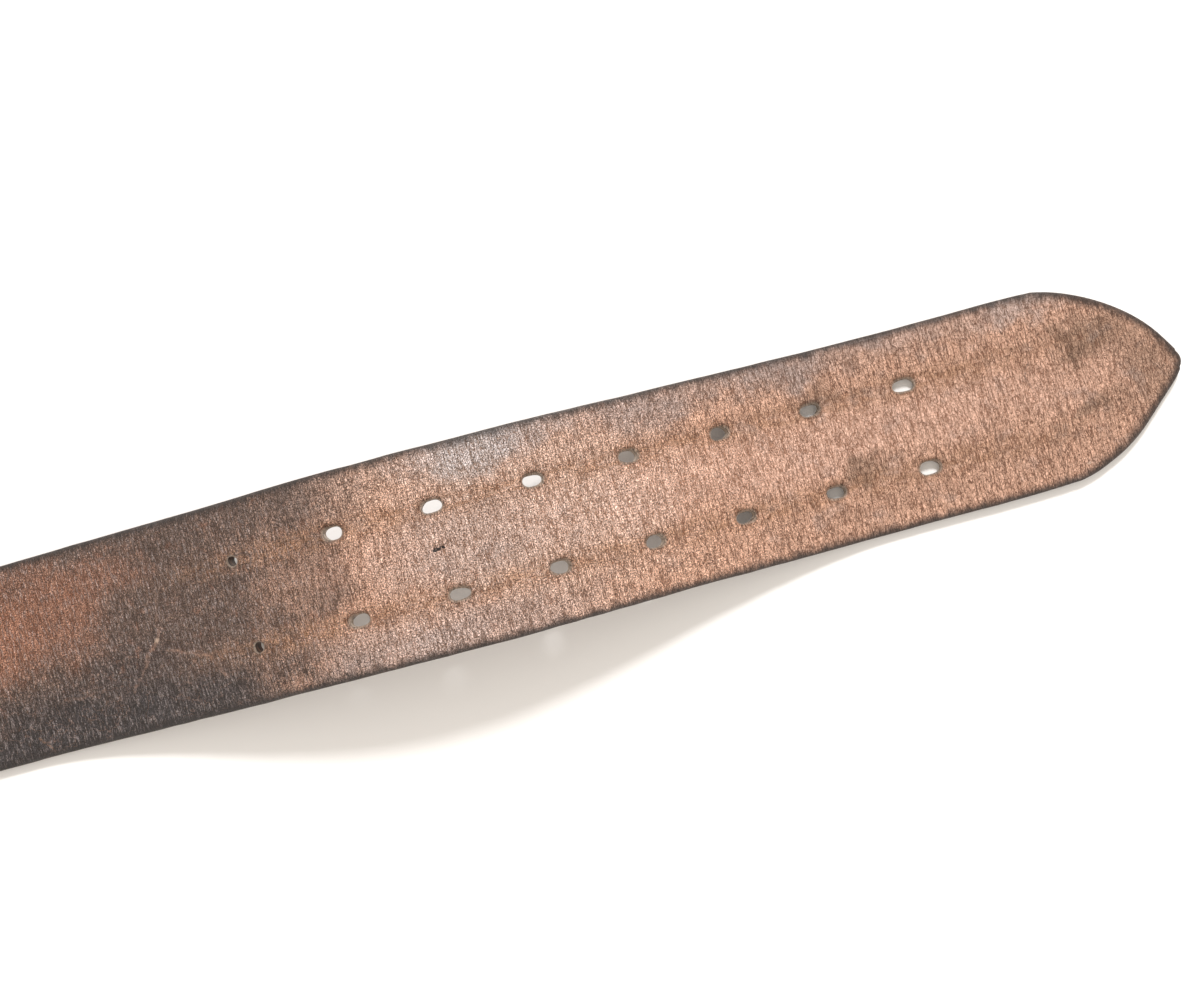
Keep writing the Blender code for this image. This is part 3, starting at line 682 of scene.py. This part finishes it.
class Graph:
    """Builds a Principled material node by node; each method returns an output socket."""

    def __init__(self, name):
        self.material = bpy.data.materials.new(name)
        self.material.use_nodes = True
        self.nodes = self.material.node_tree.nodes
        self.links = self.material.node_tree.links
        self.shader = self.nodes["Principled BSDF"]

    def connect(self, value, socket):
        if isinstance(value, bpy.types.NodeSocket):
            self.links.new(value, socket)
        elif isinstance(value, (tuple, list)) and len(value) == 3 and socket.type == "RGBA":
            socket.default_value = (*value, 1)
        else:
            socket.default_value = value

    def node(self, kind, inputs, output=0, **settings):
        made = self.nodes.new("ShaderNode" + kind)
        for key, value in settings.items():
            setattr(made, key, value)
        for key, value in inputs.items():
            self.connect(value, made.inputs[key])
        return made.outputs[output]

    def set(self, **values):
        for key, value in values.items():
            self.connect(value, self.shader.inputs[key.replace("_", " ")])

    def math(self, operation, a, b=0.0, clamp=False):
        return self.node("Math", {0: a, 1: b}, operation=operation, use_clamp=clamp)

    def total(self, *parts):
        """The sum of the parts, each given with its weight."""
        weighted = [self.math("MULTIPLY", value, weight) for value, weight in parts]
        return functools.reduce(lambda a, b: self.math("ADD", a, b), weighted)

    def vector(self, operation, a, b=(0.0, 0.0, 0.0), output=0):
        return self.node("VectorMath", {0: a, 1: b}, output, operation=operation)

    def scaled(self, vector, factors):
        return self.vector("MULTIPLY", vector, factors)

    def noise(self, vector, scale, detail=2.0, roughness=0.5, distortion=0.0):
        """Noise from 0 to 1, with scale waves to a unit in each direction."""
        inputs = {"Vector": self.scaled(vector, scale), "Scale": 1.0, "Detail": detail}
        inputs.update({"Roughness": roughness, "Distortion": distortion})
        return self.node("TexNoise", inputs)

    def cells(self, vector, scale):
        """Distance from the borders between cells, with scale cells to a unit in each direction."""
        inputs = {"Vector": self.scaled(vector, scale), "Scale": 1.0}
        return self.node("TexVoronoi", inputs, feature="DISTANCE_TO_EDGE")

    def sway(self, noise, reach):
        """Noise that swings about zero."""
        return self.math("MULTIPLY", self.math("SUBTRACT", noise, 0.5), reach)

    def off_middle(self, noise):
        """How far noise is from its middle value, which is zero along winding lines."""
        return self.math("ABSOLUTE", self.math("SUBTRACT", noise, 0.5))

    def steady(self, value, low, high, to_low, to_high, **settings):
        inputs = {0: value, 1: low, 2: high, 3: to_low, 4: to_high}
        return self.node("MapRange", inputs, **settings)

    def span(self, value, low, high, to_low=0.0, to_high=1.0):
        """Like steady, but easing in and out of the range."""
        return self.steady(value, low, high, to_low, to_high, interpolation_type="SMOOTHSTEP")

    def grey(self, value):
        return self.node("CombineColor", {0: value, 1: value, 2: value})

    def mix(self, factor, a, b, blend="MIX"):
        # By number: factor, and the colour inputs and output among those of every data type
        made = self.nodes.new("ShaderNodeMix")
        made.data_type = "RGBA"
        made.blend_type = blend
        self.connect(factor, made.inputs[0])
        self.connect(a, made.inputs[6])
        self.connect(b, made.inputs[7])
        return made.outputs[2]

    def attribute(self, name, output):
        return self.node("Attribute", {}, output, attribute_name=name)

    def bump(self, height, strength, distance, below=None):
        inputs = {"Height": height, "Strength": strength, "Distance": distance}
        if below is not None:
            inputs["Normal"] = below
        return self.node("Bump", inputs)


# --- Leather materials -----------------------------------------------------

TAN = (0.680, 0.400, 0.284)
ROSY = (0.75, 0.465, 0.355)
# Pale grey-pink painted sheen, laid as patches where the worn grain glints
PALE_PAINTED_SHEEN = (0.64, 0.530, 0.480)
CHARCOAL = (0.042, 0.036, 0.038)
UMBER = (0.112, 0.073, 0.058)
RUSSET = (0.38, 0.174, 0.106)
OCHRE = (0.39, 0.200, 0.105)
ASHEN = (0.36, 0.300, 0.290)
# Bluish grey painted sheen, laid as patches where the grain glints
GREY_PAINTED_SHEEN = (0.52, 0.470, 0.470)
OLIVE = (0.17, 0.105, 0.065)
BURNISHED = (0.030, 0.022, 0.020)

FLECK = (0.31, 0.190, 0.140)
PALE = (0.62, 0.46, 0.36)
RAW_FIBRE = (0.46, 0.38, 0.31)

# Fine scratches and creases on the grain side: from x, y to x, y, width, colour, strength.
# Here and in the stains, x is the level distance from the tip.
MARKS = [
    (271.5, -3.4, 276, -8.5, 1.5, TAN, 0.26),
    (276, -8.5, 281, -14.5, 1.2, TAN, 0.2),
    (271, -3, 268.5, 8, 1.2, TAN, 0.18),
    (269.5, -6.7, 259, -10.3, 1.2, TAN, 0.26),
    (259, -10.3, 255, -17, 1.3, TAN, 0.24),
    (258, -10.3, 226, -10.4, 1.0, TAN, 0.2),
    (299, -12.8, 289, -12.4, 1.0, TAN, 0.14),
    (309, -20, 306, -24, 0.9, OCHRE, 0.5),
    (252, 12.6, 214, 12.0, 0.8, TAN, 0.22),
    (271.6, -3.4, 271.2, -3.6, 1.5, PALE, 2.0),
    (30.5, -20.9, 30.3, -20.8, 0.9, PALE, 2.0),
    (98.5, 10.9, 99.5, 10.7, 1.0, PALE, 0.5),
    (38.5, 8.0, 40.8, 4.6, 0.8, BURNISHED, 0.5),
    (40.8, 4.6, 39.4, 1.2, 0.8, BURNISHED, 0.45),
    (43.5, 17.6, 43.0, 16.6, 1.2, BURNISHED, 0.5),
    (35.5, -14, 37.5, -17, 0.8, BURNISHED, 0.4),
    (197.0, 0.4, 194.6, 0.5, 1.2, BURNISHED, 5.0),
    (112, 21, 111, 24.5, 0.8, BURNISHED, 0.45),
    (150, -3, 149, 3, 0.7, BURNISHED, 0.35),
]

# Stains on the grain side, and among them patches of painted sheen: x, y, reach along, reach
# across, colour, strength
STAINS = [
    (118, 1, 118, 10, ROSY, 0.85),
    # Painted sheen over the polished middle
    (172, 2, 42, 28, PALE_PAINTED_SHEEN, 0.36),
    (218, -14, 18, 9, TAN, 0.45),
    (240, -3, 9, 10, TAN, 0.16),
    (227, 2, 11, 13, UMBER, 0.42),
    (318, 23, 14, 6, RUSSET, 0.5),
    (292, 4, 10, 12, RUSSET, 0.35),
    # The next three are painted sheen near the far edge
    (214, 22, 20, 8, PALE_PAINTED_SHEEN, 0.16),
    (186, 21, 12, 9, PALE_PAINTED_SHEEN, 0.3),
    (37, 23, 13, 6, GREY_PAINTED_SHEEN, 0.45),
    (120, 26, 100, 8, ASHEN, 0.5),
    (190, -23, 34, 8, ASHEN, 0.5),
    (250, 24, 40, 10, UMBER, 0.55),
    (262, -2, 26, 24, UMBER, 0.5),
    (322, 9, 34, 15, RUSSET, 0.85),
    (385, 5, 44, 20, RUSSET, 0.45),
    (494, 13, 45, 12, RUSSET, 0.35),
    (440, -15, 62, 13, CHARCOAL, 0.45),
    (528, -4, 30, 16, CHARCOAL, 0.3),
    (288, 16, 20, 9, RUSSET, 0.5),
    (300, -23, 60, 15, CHARCOAL, 0.95),
    (262, -24, 20, 9, CHARCOAL, 0.6),
    (276, -10, 16, 9, CHARCOAL, 0.45),
    # The next two are painted sheen
    (181, 23, 20, 8, GREY_PAINTED_SHEEN, 0.75),
    (212, -20, 22, 10, GREY_PAINTED_SHEEN, 0.3),
    (140, 20, 14, 7, ASHEN, 0.45),
    (104, 21, 15, 6, ASHEN, 0.5),
    (190, -1, 22, 16, ASHEN, 0.3),
    (222, 14, 14, 9, UMBER, 0.35),
    (22, 11, 11, 7, OLIVE, 0.6),
    (26, -8, 10, 4, OLIVE, 0.5),
    (87, -9, 8, 5, OLIVE, 0.55),
    (95, 13, 9, 4, OLIVE, 0.4),
    (8, 0, 12, 12, OLIVE, 0.45),
]


def wavering(g, place, scale, detail, roughness, reach):
    """The place shifted about by noise, so that a shape drawn from it gets uneven edges."""
    inputs = {"Vector": place, "Scale": scale, "Detail": detail, "Roughness": roughness}
    shift = g.vector("SUBTRACT", g.node("TexNoise", inputs, 1), (0.5, 0.5, 0.5))
    return g.vector("ADD", place, g.scaled(shift, reach))


def far_from(g, place, centre, along, across):
    """Distance from a centre, where 1 is the rim of an oval that reaches this far each way."""
    offset = g.vector("SUBTRACT", place, centre)
    offset = g.scaled(offset, (1 / along, 1 / across, 0.0))
    return g.vector("LENGTH", offset, output=1)


def stained(g, flat, colour):
    """Lays each stain and each patch of painted sheen over the colour, with edges broken up by
    noise.
    """
    place = wavering(g, flat, 0.09, 4.0, 0.65, (26.0, 20.0, 0.0))
    for x, y, along, across, stain, strength in STAINS:
        away = far_from(g, place, (s_from_level(x), y, 0.0), along, across)
        colour = g.mix(g.span(away, 1.25, 0.35, 0.0, strength), colour, stain)
    return colour


def marked(g, flat, colour):
    """Draws each fine mark over the colour, wavering a little and broken in places."""
    place = wavering(g, flat, 0.35, 3.0, 0.5, (2.4, 2.4, 0.0))
    broken = g.span(g.noise(flat, (0.9, 0.9, 0.0), 3.0, 0.7), 0.4, 0.58, 0.1, 1.0)
    for x0, y0, x1, y1, width, mark, strength in MARKS:
        start = (s_from_level(x0), y0, 0.0)
        run = (s_from_level(x1) - start[0], y1 - y0, 0.0)
        reach = run[0] ** 2 + run[1] ** 2
        away = g.vector("SUBTRACT", place, start)
        done = g.vector("DOT_PRODUCT", away, run, output=1)
        done = g.math("MULTIPLY", done, 1 / reach, clamp=True)
        foot = g.node("VectorMath", {0: run, "Scale": done}, operation="SCALE")
        away = g.vector("DISTANCE", away, foot, output=1)
        drawn = g.math("MULTIPLY", g.span(away, width / 2, width / 8, 0.0, strength), broken)
        colour = g.mix(drawn, colour, mark)
    return colour


def grain_height(g, flat):
    """Height of the grain: pebbles, long and short creases across the strap, and a fine speckle."""
    warp = g.node("TexNoise", {"Vector": flat, "Scale": 0.7, "Detail": 2.0}, 1)
    warped = g.vector("ADD", flat, g.scaled(warp, (1.6, 1.6, 0.0)))
    dome = g.span(g.cells(warped, (1.6, 1.0, 0.0)), 0.0, 0.24)
    creases = g.noise(flat, (0.95, 0.16, 0.0), 3.0, 0.55, 0.5)
    open_crease = g.span(g.off_middle(creases), 0.0, 0.05)
    short = g.noise(flat, (1.8, 0.55, 0.0), 2.0, 0.6, 0.4)
    short_crease = g.span(g.off_middle(short), 0.0, 0.06)
    speckle = g.noise(flat, (3.4, 2.6, 0.0), 2.0, 0.9)
    return g.total((dome, 0.26), (open_crease, 0.34), (short_crease, 0.24), (speckle, 0.8))


def prong_tracks(g, flat, along, across):
    """How much of the rubbed track along each row of holes shows, up to 0.6."""
    tracks = []
    for side in (-1, 1):
        row = ROW_CENTRE_Y + side * ROW_SPACING / 2
        away = g.math("ABSOLUTE", g.math("SUBTRACT", across, row))
        tracks.append(g.span(away, 5.0, 0.6))
    ends = g.math("MULTIPLY", g.span(along, 10.0, 60.0), g.span(along, 285.0, 235.0))
    tracks = g.math("MULTIPLY", g.math("MAXIMUM", *tracks), ends)
    broken = g.span(g.noise(flat, (0.16, 0.5, 0.0), 4.0, 0.65), 0.3, 0.62)
    return g.math("MULTIPLY", tracks, g.math("MULTIPLY", broken, 0.6))


def weathering_and_painted_glints(g, flat, along, across, colour, wear_and_glint_reach):
    """Lays ashen and rusty patches, fine pale cracks, and short dashes of painted glints over the
    colour.
    """
    ashen = g.noise(flat, (0.11, 0.14, 0.0), 4.0, 0.6)
    ashen = g.math("MULTIPLY", g.span(ashen, 0.52, 0.72, 0.0, 0.3), g.span(along, 240.0, 205.0))
    colour = g.mix(ashen, colour, ASHEN)
    rusty = g.noise(flat, (0.35, 0.3, 0.0), 3.0, 0.6)
    brown = g.math("MAXIMUM", g.span(along, 258.0, 240.0), g.span(across, -15.0, -9.0))
    rusty = g.math("MULTIPLY", g.span(rusty, 0.56, 0.7, 0.0, 0.3), brown)
    colour = g.mix(rusty, colour, RUSSET)
    web = g.span(g.off_middle(g.noise(flat, (0.13, 0.16, 0.0), 3.0, 0.55)), 0.012, 0.0)
    shown = g.math("MULTIPLY", g.span(along, 222.0, 250.0), 0.16)
    colour = g.mix(g.math("MULTIPLY", web, shown), colour, TAN)
    # Short grey dashes across the strap: painted glints on the dark leather
    painted_glint_dashes = g.noise(flat, (1.9, 0.38, 0.0), 2.0, 0.6, 0.3)
    painted_glint_dashes = g.math("MULTIPLY", g.span(painted_glint_dashes, 0.51, 0.62, 0.0, 0.42), wear_and_glint_reach)
    return g.mix(painted_glint_dashes, colour, ASHEN)


def grain_shading(g, flat, along, tops, colour):
    """Varies the colour's strength: painted glints, and dark valleys between paler, warmer tops."""
    # Painted glints: a fine speckle that brightens the colour from the middle of the strap on
    glints = g.grey(g.steady(g.noise(flat, (4.3, 2.6, 0.0), 2.0, 0.8), 0.4, 0.62, 0.25, 2.15))
    colour = g.mix(g.span(along, 70.0, 160.0), colour, glints, "MULTIPLY")
    shades = {}
    for channel, (valley, top) in enumerate(((0.52, 1.50), (0.41, 1.60), (0.33, 1.68))):
        shades[channel] = g.steady(tops, -0.36, 0.34, valley, top)
    return g.mix(1.0, colour, g.node("CombineColor", shades), "MULTIPLY")


def grain_leather():
    """Worn grain: dark finish left in the valleys, and paler leather on the tops of the pebbles."""
    g = Graph("strap_grain")
    strip = g.attribute("strip", 1)
    flat = g.scaled(strip, (1.0, 1.0, 0.0))
    edge = g.attribute("edge_mm", 2)
    rim = g.attribute("rim_mm", 2)
    along, across = (g.node("SeparateXYZ", {0: strip}, axis) for axis in (0, 1))
    height = grain_height(g, flat)
    tops = g.math("SUBTRACT", height, 1.05)

    # Tan at the tip, and the dark finish still on towards the buckle
    aged = g.noise(flat, (0.045, 0.06, 0.0), 5.0, 0.6)
    darkening = g.span(g.math("ADD", along, g.sway(aged, 90.0)), 200.0, 262.0)
    dark = g.math("SUBTRACT", darkening, g.math("MULTIPLY", tops, 0.9), clamp=True)
    colour = g.mix(dark, TAN, UMBER)
    # Towards the buckle: where the worn flecks and the painted glint dashes show
    wear_and_glint_reach = g.span(along, 205.0, 250.0)
    flecks = g.math("MULTIPLY", g.span(tops, 0.04, 0.24, 0.0, 0.5), wear_and_glint_reach)
    colour = g.mix(flecks, colour, FLECK)
    colour = stained(g, flat, colour)
    colour = g.mix(prong_tracks(g, flat, along, across), colour, OCHRE)
    mottle = g.noise(flat, (0.28, 0.2, 0.0), 5.0, 0.62)
    colour = g.mix(1.0, colour, g.grey(g.span(mottle, 0.28, 0.72, 0.9, 1.1)), "MULTIPLY")
    colour = weathering_and_painted_glints(g, flat, along, across, colour, wear_and_glint_reach)
    colour = grain_shading(g, flat, along, tops, colour)
    colour = marked(g, flat, colour)

    # Burnished along the edges and round the holes, with raw fibre at the holes' walls
    worn_edge = g.math("ADD", edge, g.sway(mottle, 3.0))
    worn_edge = g.math("SUBTRACT", worn_edge, g.span(along, 38.0, 22.0, 0.0, 0.45))
    colour = g.mix(g.span(worn_edge, 2.7, 0.1, 0.0, 0.9), colour, BURNISHED)
    colour = g.mix(g.span(rim, 1.1, 0.5, 0.0, 0.25), colour, BURNISHED)
    colour = g.mix(g.span(rim, 0.5, 0.15, 0.0, 0.6), colour, RAW_FIBRE)

    polish = g.span(far_from(g, flat, (168.0, 6.0, 0.0), 60, 30), 0.4, 1.2, -0.18, 0.06)
    rough = g.math("ADD", g.span(aged, 0.35, 0.65, 0.46, 0.6), polish)
    g.set(Base_Color=colour, Roughness=rough, Normal=g.bump(height, 1.0, 0.00085))
    g.set(Specular_IOR_Level=0.5, Coat_Weight=0.08, Coat_Roughness=0.35)
    return g.material


def edge_leather():
    """The burnished cut edge, with its layers of fibre drawn out lengthwise."""
    g = Graph("strap_edge")
    strip = g.attribute("strip", 1)
    rim = g.attribute("rim_mm", 2)
    layers = g.noise(strip, (0.12, 0.12, 3.2), 4.0, 0.6)
    patches = g.noise(strip, (0.05, 0.05, 0.3), 3.0, 0.5)
    colour = g.mix(g.span(layers, 0.35, 0.7), (0.028, 0.018, 0.014), (0.15, 0.085, 0.055))
    colour = g.mix(g.span(patches, 0.45, 0.7, 0.0, 0.6), colour, (0.055, 0.04, 0.036))
    along = g.node("SeparateXYZ", {0: strip}, 0)
    raw = g.math("MULTIPLY", g.span(layers, 0.3, 0.6, 0.5, 0.95), g.span(along, 240.0, 225.0))
    colour = g.mix(g.math("MULTIPLY", g.span(rim, 0.4, 0.15), raw), colour, RAW_FIBRE)
    g.set(Base_Color=colour, Roughness=g.span(patches, 0.3, 0.7, 0.42, 0.62))
    g.set(Normal=g.bump(layers, 0.5, 0.0002))
    return g.material


def flesh_leather():
    """The napped underside."""
    g = Graph("strap_flesh")
    strip = g.attribute("strip", 1)
    flat = g.scaled(strip, (1.0, 1.0, 0.0))
    nap = g.noise(flat, (1.1, 1.6, 0.0), 6.0, 0.75)
    patches = g.noise(flat, (0.05, 0.07, 0.0), 4.0, 0.6)
    colour = g.mix(g.span(nap, 0.3, 0.7), (0.10, 0.06, 0.040), (0.27, 0.17, 0.11))
    colour = g.mix(g.span(patches, 0.42, 0.68, 0.0, 0.65), colour, (0.13, 0.085, 0.06))
    g.set(Base_Color=colour, Roughness=0.9)
    g.set(Sheen_Weight=0.25, Sheen_Roughness=0.6, Normal=g.bump(nap, 0.8, 0.0003))
    return g.material


def keeper_leather():
    """Dark burnished leather, rubbed paler on its corners."""
    g = Graph("keeper_band")
    strip = g.attribute("strip", 1)
    edge = g.attribute("edge_mm", 2)
    flat = g.scaled(strip, (1.0, 1.0, 0.35))
    patches = g.noise(flat, (0.11, 0.16, 0.2), 4.0, 0.6)
    grain = g.noise(flat, (1.5, 0.8, 0.5), 3.0, 0.7)
    pebbles = g.cells(flat, (1.2, 1.0, 0.5))
    height = g.math("ADD", g.math("MULTIPLY", g.span(pebbles, 0.0, 0.25), 0.35), grain)
    colour = g.mix(g.span(patches, 0.36, 0.66), (0.075, 0.040, 0.026), (0.21, 0.108, 0.062))
    colour = g.mix(1.0, colour, g.grey(g.steady(height, 0.5, 1.1, 0.55, 1.45)), "MULTIPLY")
    rubbed = g.math("ADD", edge, g.sway(grain, 2.0))
    colour = g.mix(g.span(rubbed, 0.9, 0.2, 0.0, 0.5), colour, (0.24, 0.14, 0.09))
    crease = g.math("ABSOLUTE", g.math("SUBTRACT", edge, KEEPER_CREASE))
    colour = g.mix(g.span(crease, 0.5, 0.1, 0.0, 0.75), colour, BURNISHED)
    g.set(Base_Color=colour, Roughness=g.span(patches, 0.3, 0.7, 0.42, 0.62))
    g.set(Specular_IOR_Level=0.5, Normal=g.bump(height, 0.8, 0.0003))
    return g.material


# --- Metal materials -------------------------------------------------------

# For each CAD material: new name, bright metal, tarnish, spots, and roughness where bright
METALS = {
    "aged_brass": ("worn_brass", (0.56, 0.40, 0.19), (0.25, 0.16, 0.075), (0.12, 0.13, 0.08), 0.3),
    "dull_steel": (
        "worn_steel", (0.44, 0.43, 0.42), (0.15, 0.135, 0.125), (0.16, 0.065, 0.03), 0.34,
    ),
    "aged_copper": (
        "worn_copper", (0.52, 0.26, 0.17), (0.19, 0.095, 0.065), (0.12, 0.17, 0.13), 0.32,
    ),
}


def worn_metal(name, bright, tarnish, spots, polish):
    """Bare metal dulled in patches, with specks of corrosion, fine scratches and small dents."""
    g = Graph(name)
    place = g.scaled(g.node("TexCoord", {}, "Object"), (1 / MM, 1 / MM, 1 / MM))
    patches = g.noise(place, (0.22, 0.22, 0.22), 5.0, 0.65, 0.3)
    mottle = g.noise(place, (1.4, 1.4, 1.4), 3.0, 0.7)
    brushed = g.noise(place, (5.0, 0.35, 5.0), 3.0, 0.6)
    scratches = g.noise(place, (0.55, 0.5, 0.6), 2.0, 0.5, 2.0)
    scratches = g.span(g.off_middle(scratches), 0.006, 0.0)
    dulled = g.math("ADD", patches, g.sway(mottle, 0.35))
    dulled = g.span(dulled, 0.32, 0.68)
    corroded = g.span(g.math("MULTIPLY", mottle, patches), 0.31, 0.37)
    colour = g.mix(dulled, bright, tarnish)
    colour = g.mix(g.span(brushed, 0.4, 0.7, 0.0, 0.25), colour, tarnish)
    colour = g.mix(g.math("MULTIPLY", scratches, 0.55), colour, bright)
    colour = g.mix(g.math("MULTIPLY", corroded, 0.7), colour, spots)
    rough = g.span(brushed, 0.3, 0.7, polish, polish + 0.1)
    rough = g.math("ADD", g.math("MULTIPLY", dulled, 0.24), rough)
    rough = g.math("ADD", rough, g.math("MULTIPLY", corroded, 0.2), clamp=True)
    height = g.math("SUBTRACT", g.math("ADD", mottle, g.math("MULTIPLY", brushed, 0.4)), scratches)
    g.set(Base_Color=colour, Roughness=rough)
    g.set(Metallic=g.math("SUBTRACT", 1.0, g.math("MULTIPLY", corroded, 0.6)))
    dents = g.bump(g.noise(place, (0.5, 0.5, 0.5), 1.0), 0.35, 0.0004)
    g.set(Normal=g.bump(height, 0.35, 0.00008, dents))
    return g.material


# --- Stage -----------------------------------------------------------------

# In metres and degrees; the aims are the places that the camera and the light point at
FLOOR_SIZE = 6
FLOOR_LEVEL = -0.0002
SKY_COLOUR = (1.0, 0.93, 0.85)
SKY_STRENGTH = 1.05
KEY_COLOUR = (1.0, 0.99, 0.98)
KEY_SIZE = 0.22
KEY_WATTS = 14
KEY_AIM = (0.12, 0.0, 0.0)
KEY_OFFSET = (0.32, 0.76, 1.0)
CAMERA_AIM = (TIP_X * MM - 0.1546, 0.0022, 0)
CAMERA_AZIMUTH = -14.92
CAMERA_ELEVATION = 88.66
CAMERA_DISTANCE = 0.45
CAMERA_LENS_MM = 52.0
CAMERA_SENSOR_MM = 36


def add_stage():
    """A white floor under an even warm sky, with one soft light from the far right."""
    bpy.ops.mesh.primitive_plane_add(size=FLOOR_SIZE, location=(0, 0, FLOOR_LEVEL))
    floor = bpy.context.object
    floor.name = "floor"
    g = Graph("floor_white")
    g.set(Base_Color=(0.86, 0.86, 0.86), Roughness=0.85, Specular_IOR_Level=0.15)
    floor.data.materials.append(g.material)

    world = bpy.data.worlds.new("soft_daylight")
    world.use_nodes = True
    background = world.node_tree.nodes["Background"]
    background.inputs["Color"].default_value = (*SKY_COLOUR, 1)
    background.inputs["Strength"].default_value = SKY_STRENGTH
    bpy.context.scene.world = world

    light = bpy.data.lights.new("key", "AREA")
    light.shape = "DISK"
    light.size = KEY_SIZE
    light.energy = KEY_WATTS
    light.color = KEY_COLOUR
    key = bpy.data.objects.new("key", light)
    bpy.context.scene.collection.objects.link(key)
    offset = Vector(KEY_OFFSET)
    key.location = Vector(KEY_AIM) + offset
    key.rotation_euler = offset.to_track_quat("Z", "Y").to_euler()


def add_camera():
    """Almost straight down, turned so that the strap rises to the right."""
    azimuth, elevation = math.radians(CAMERA_AZIMUTH), math.radians(CAMERA_ELEVATION)
    level = math.cos(elevation)
    back = Vector((math.sin(azimuth) * level, -math.cos(azimuth) * level, math.sin(elevation)))
    right = Vector((math.cos(azimuth), math.sin(azimuth), 0))
    data = bpy.data.cameras.new("camera")
    data.lens = CAMERA_LENS_MM
    data.sensor_width = CAMERA_SENSOR_MM
    camera = bpy.data.objects.new("camera", data)
    bpy.context.scene.collection.objects.link(camera)
    turn = camera.matrix_world.to_3x3()
    turn.col[0], turn.col[1], turn.col[2] = right, back.cross(right), back
    camera.matrix_world = turn.to_4x4()
    camera.location = Vector(CAMERA_AIM) + CAMERA_DISTANCE * back
    bpy.context.scene.camera = camera


def main():
    bpy.context.scene.view_settings.view_transform = "Standard"
    add_camera()
    add_stage()

    detail = 1.0
    mesh = strap_mesh(detail)
    leather = [grain_leather(), edge_leather(), flesh_leather()]
    strap = add_object("strap_leather", mesh, leather)
    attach(strap, "strap")
    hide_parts("strap")

    band = add_object("keeper_band", keeper_mesh(detail), [keeper_leather()])
    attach(band, "keeper")
    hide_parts("keeper")

    metals = {cad_name: worn_metal(*look) for cad_name, look in METALS.items()}
    tube = add_object("roller_tube", roller_mesh(detail), [metals["aged_brass"]])
    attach(tube, "roller")
    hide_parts("roller")
    for node in frame["nodes"].values():
        for part_slot in node.material_slots:
            metal = metals.get(part_slot.material.name.split(".")[0])
            if metal:
                part_slot.material = metal


main()
bpy.context.view_layer.update()
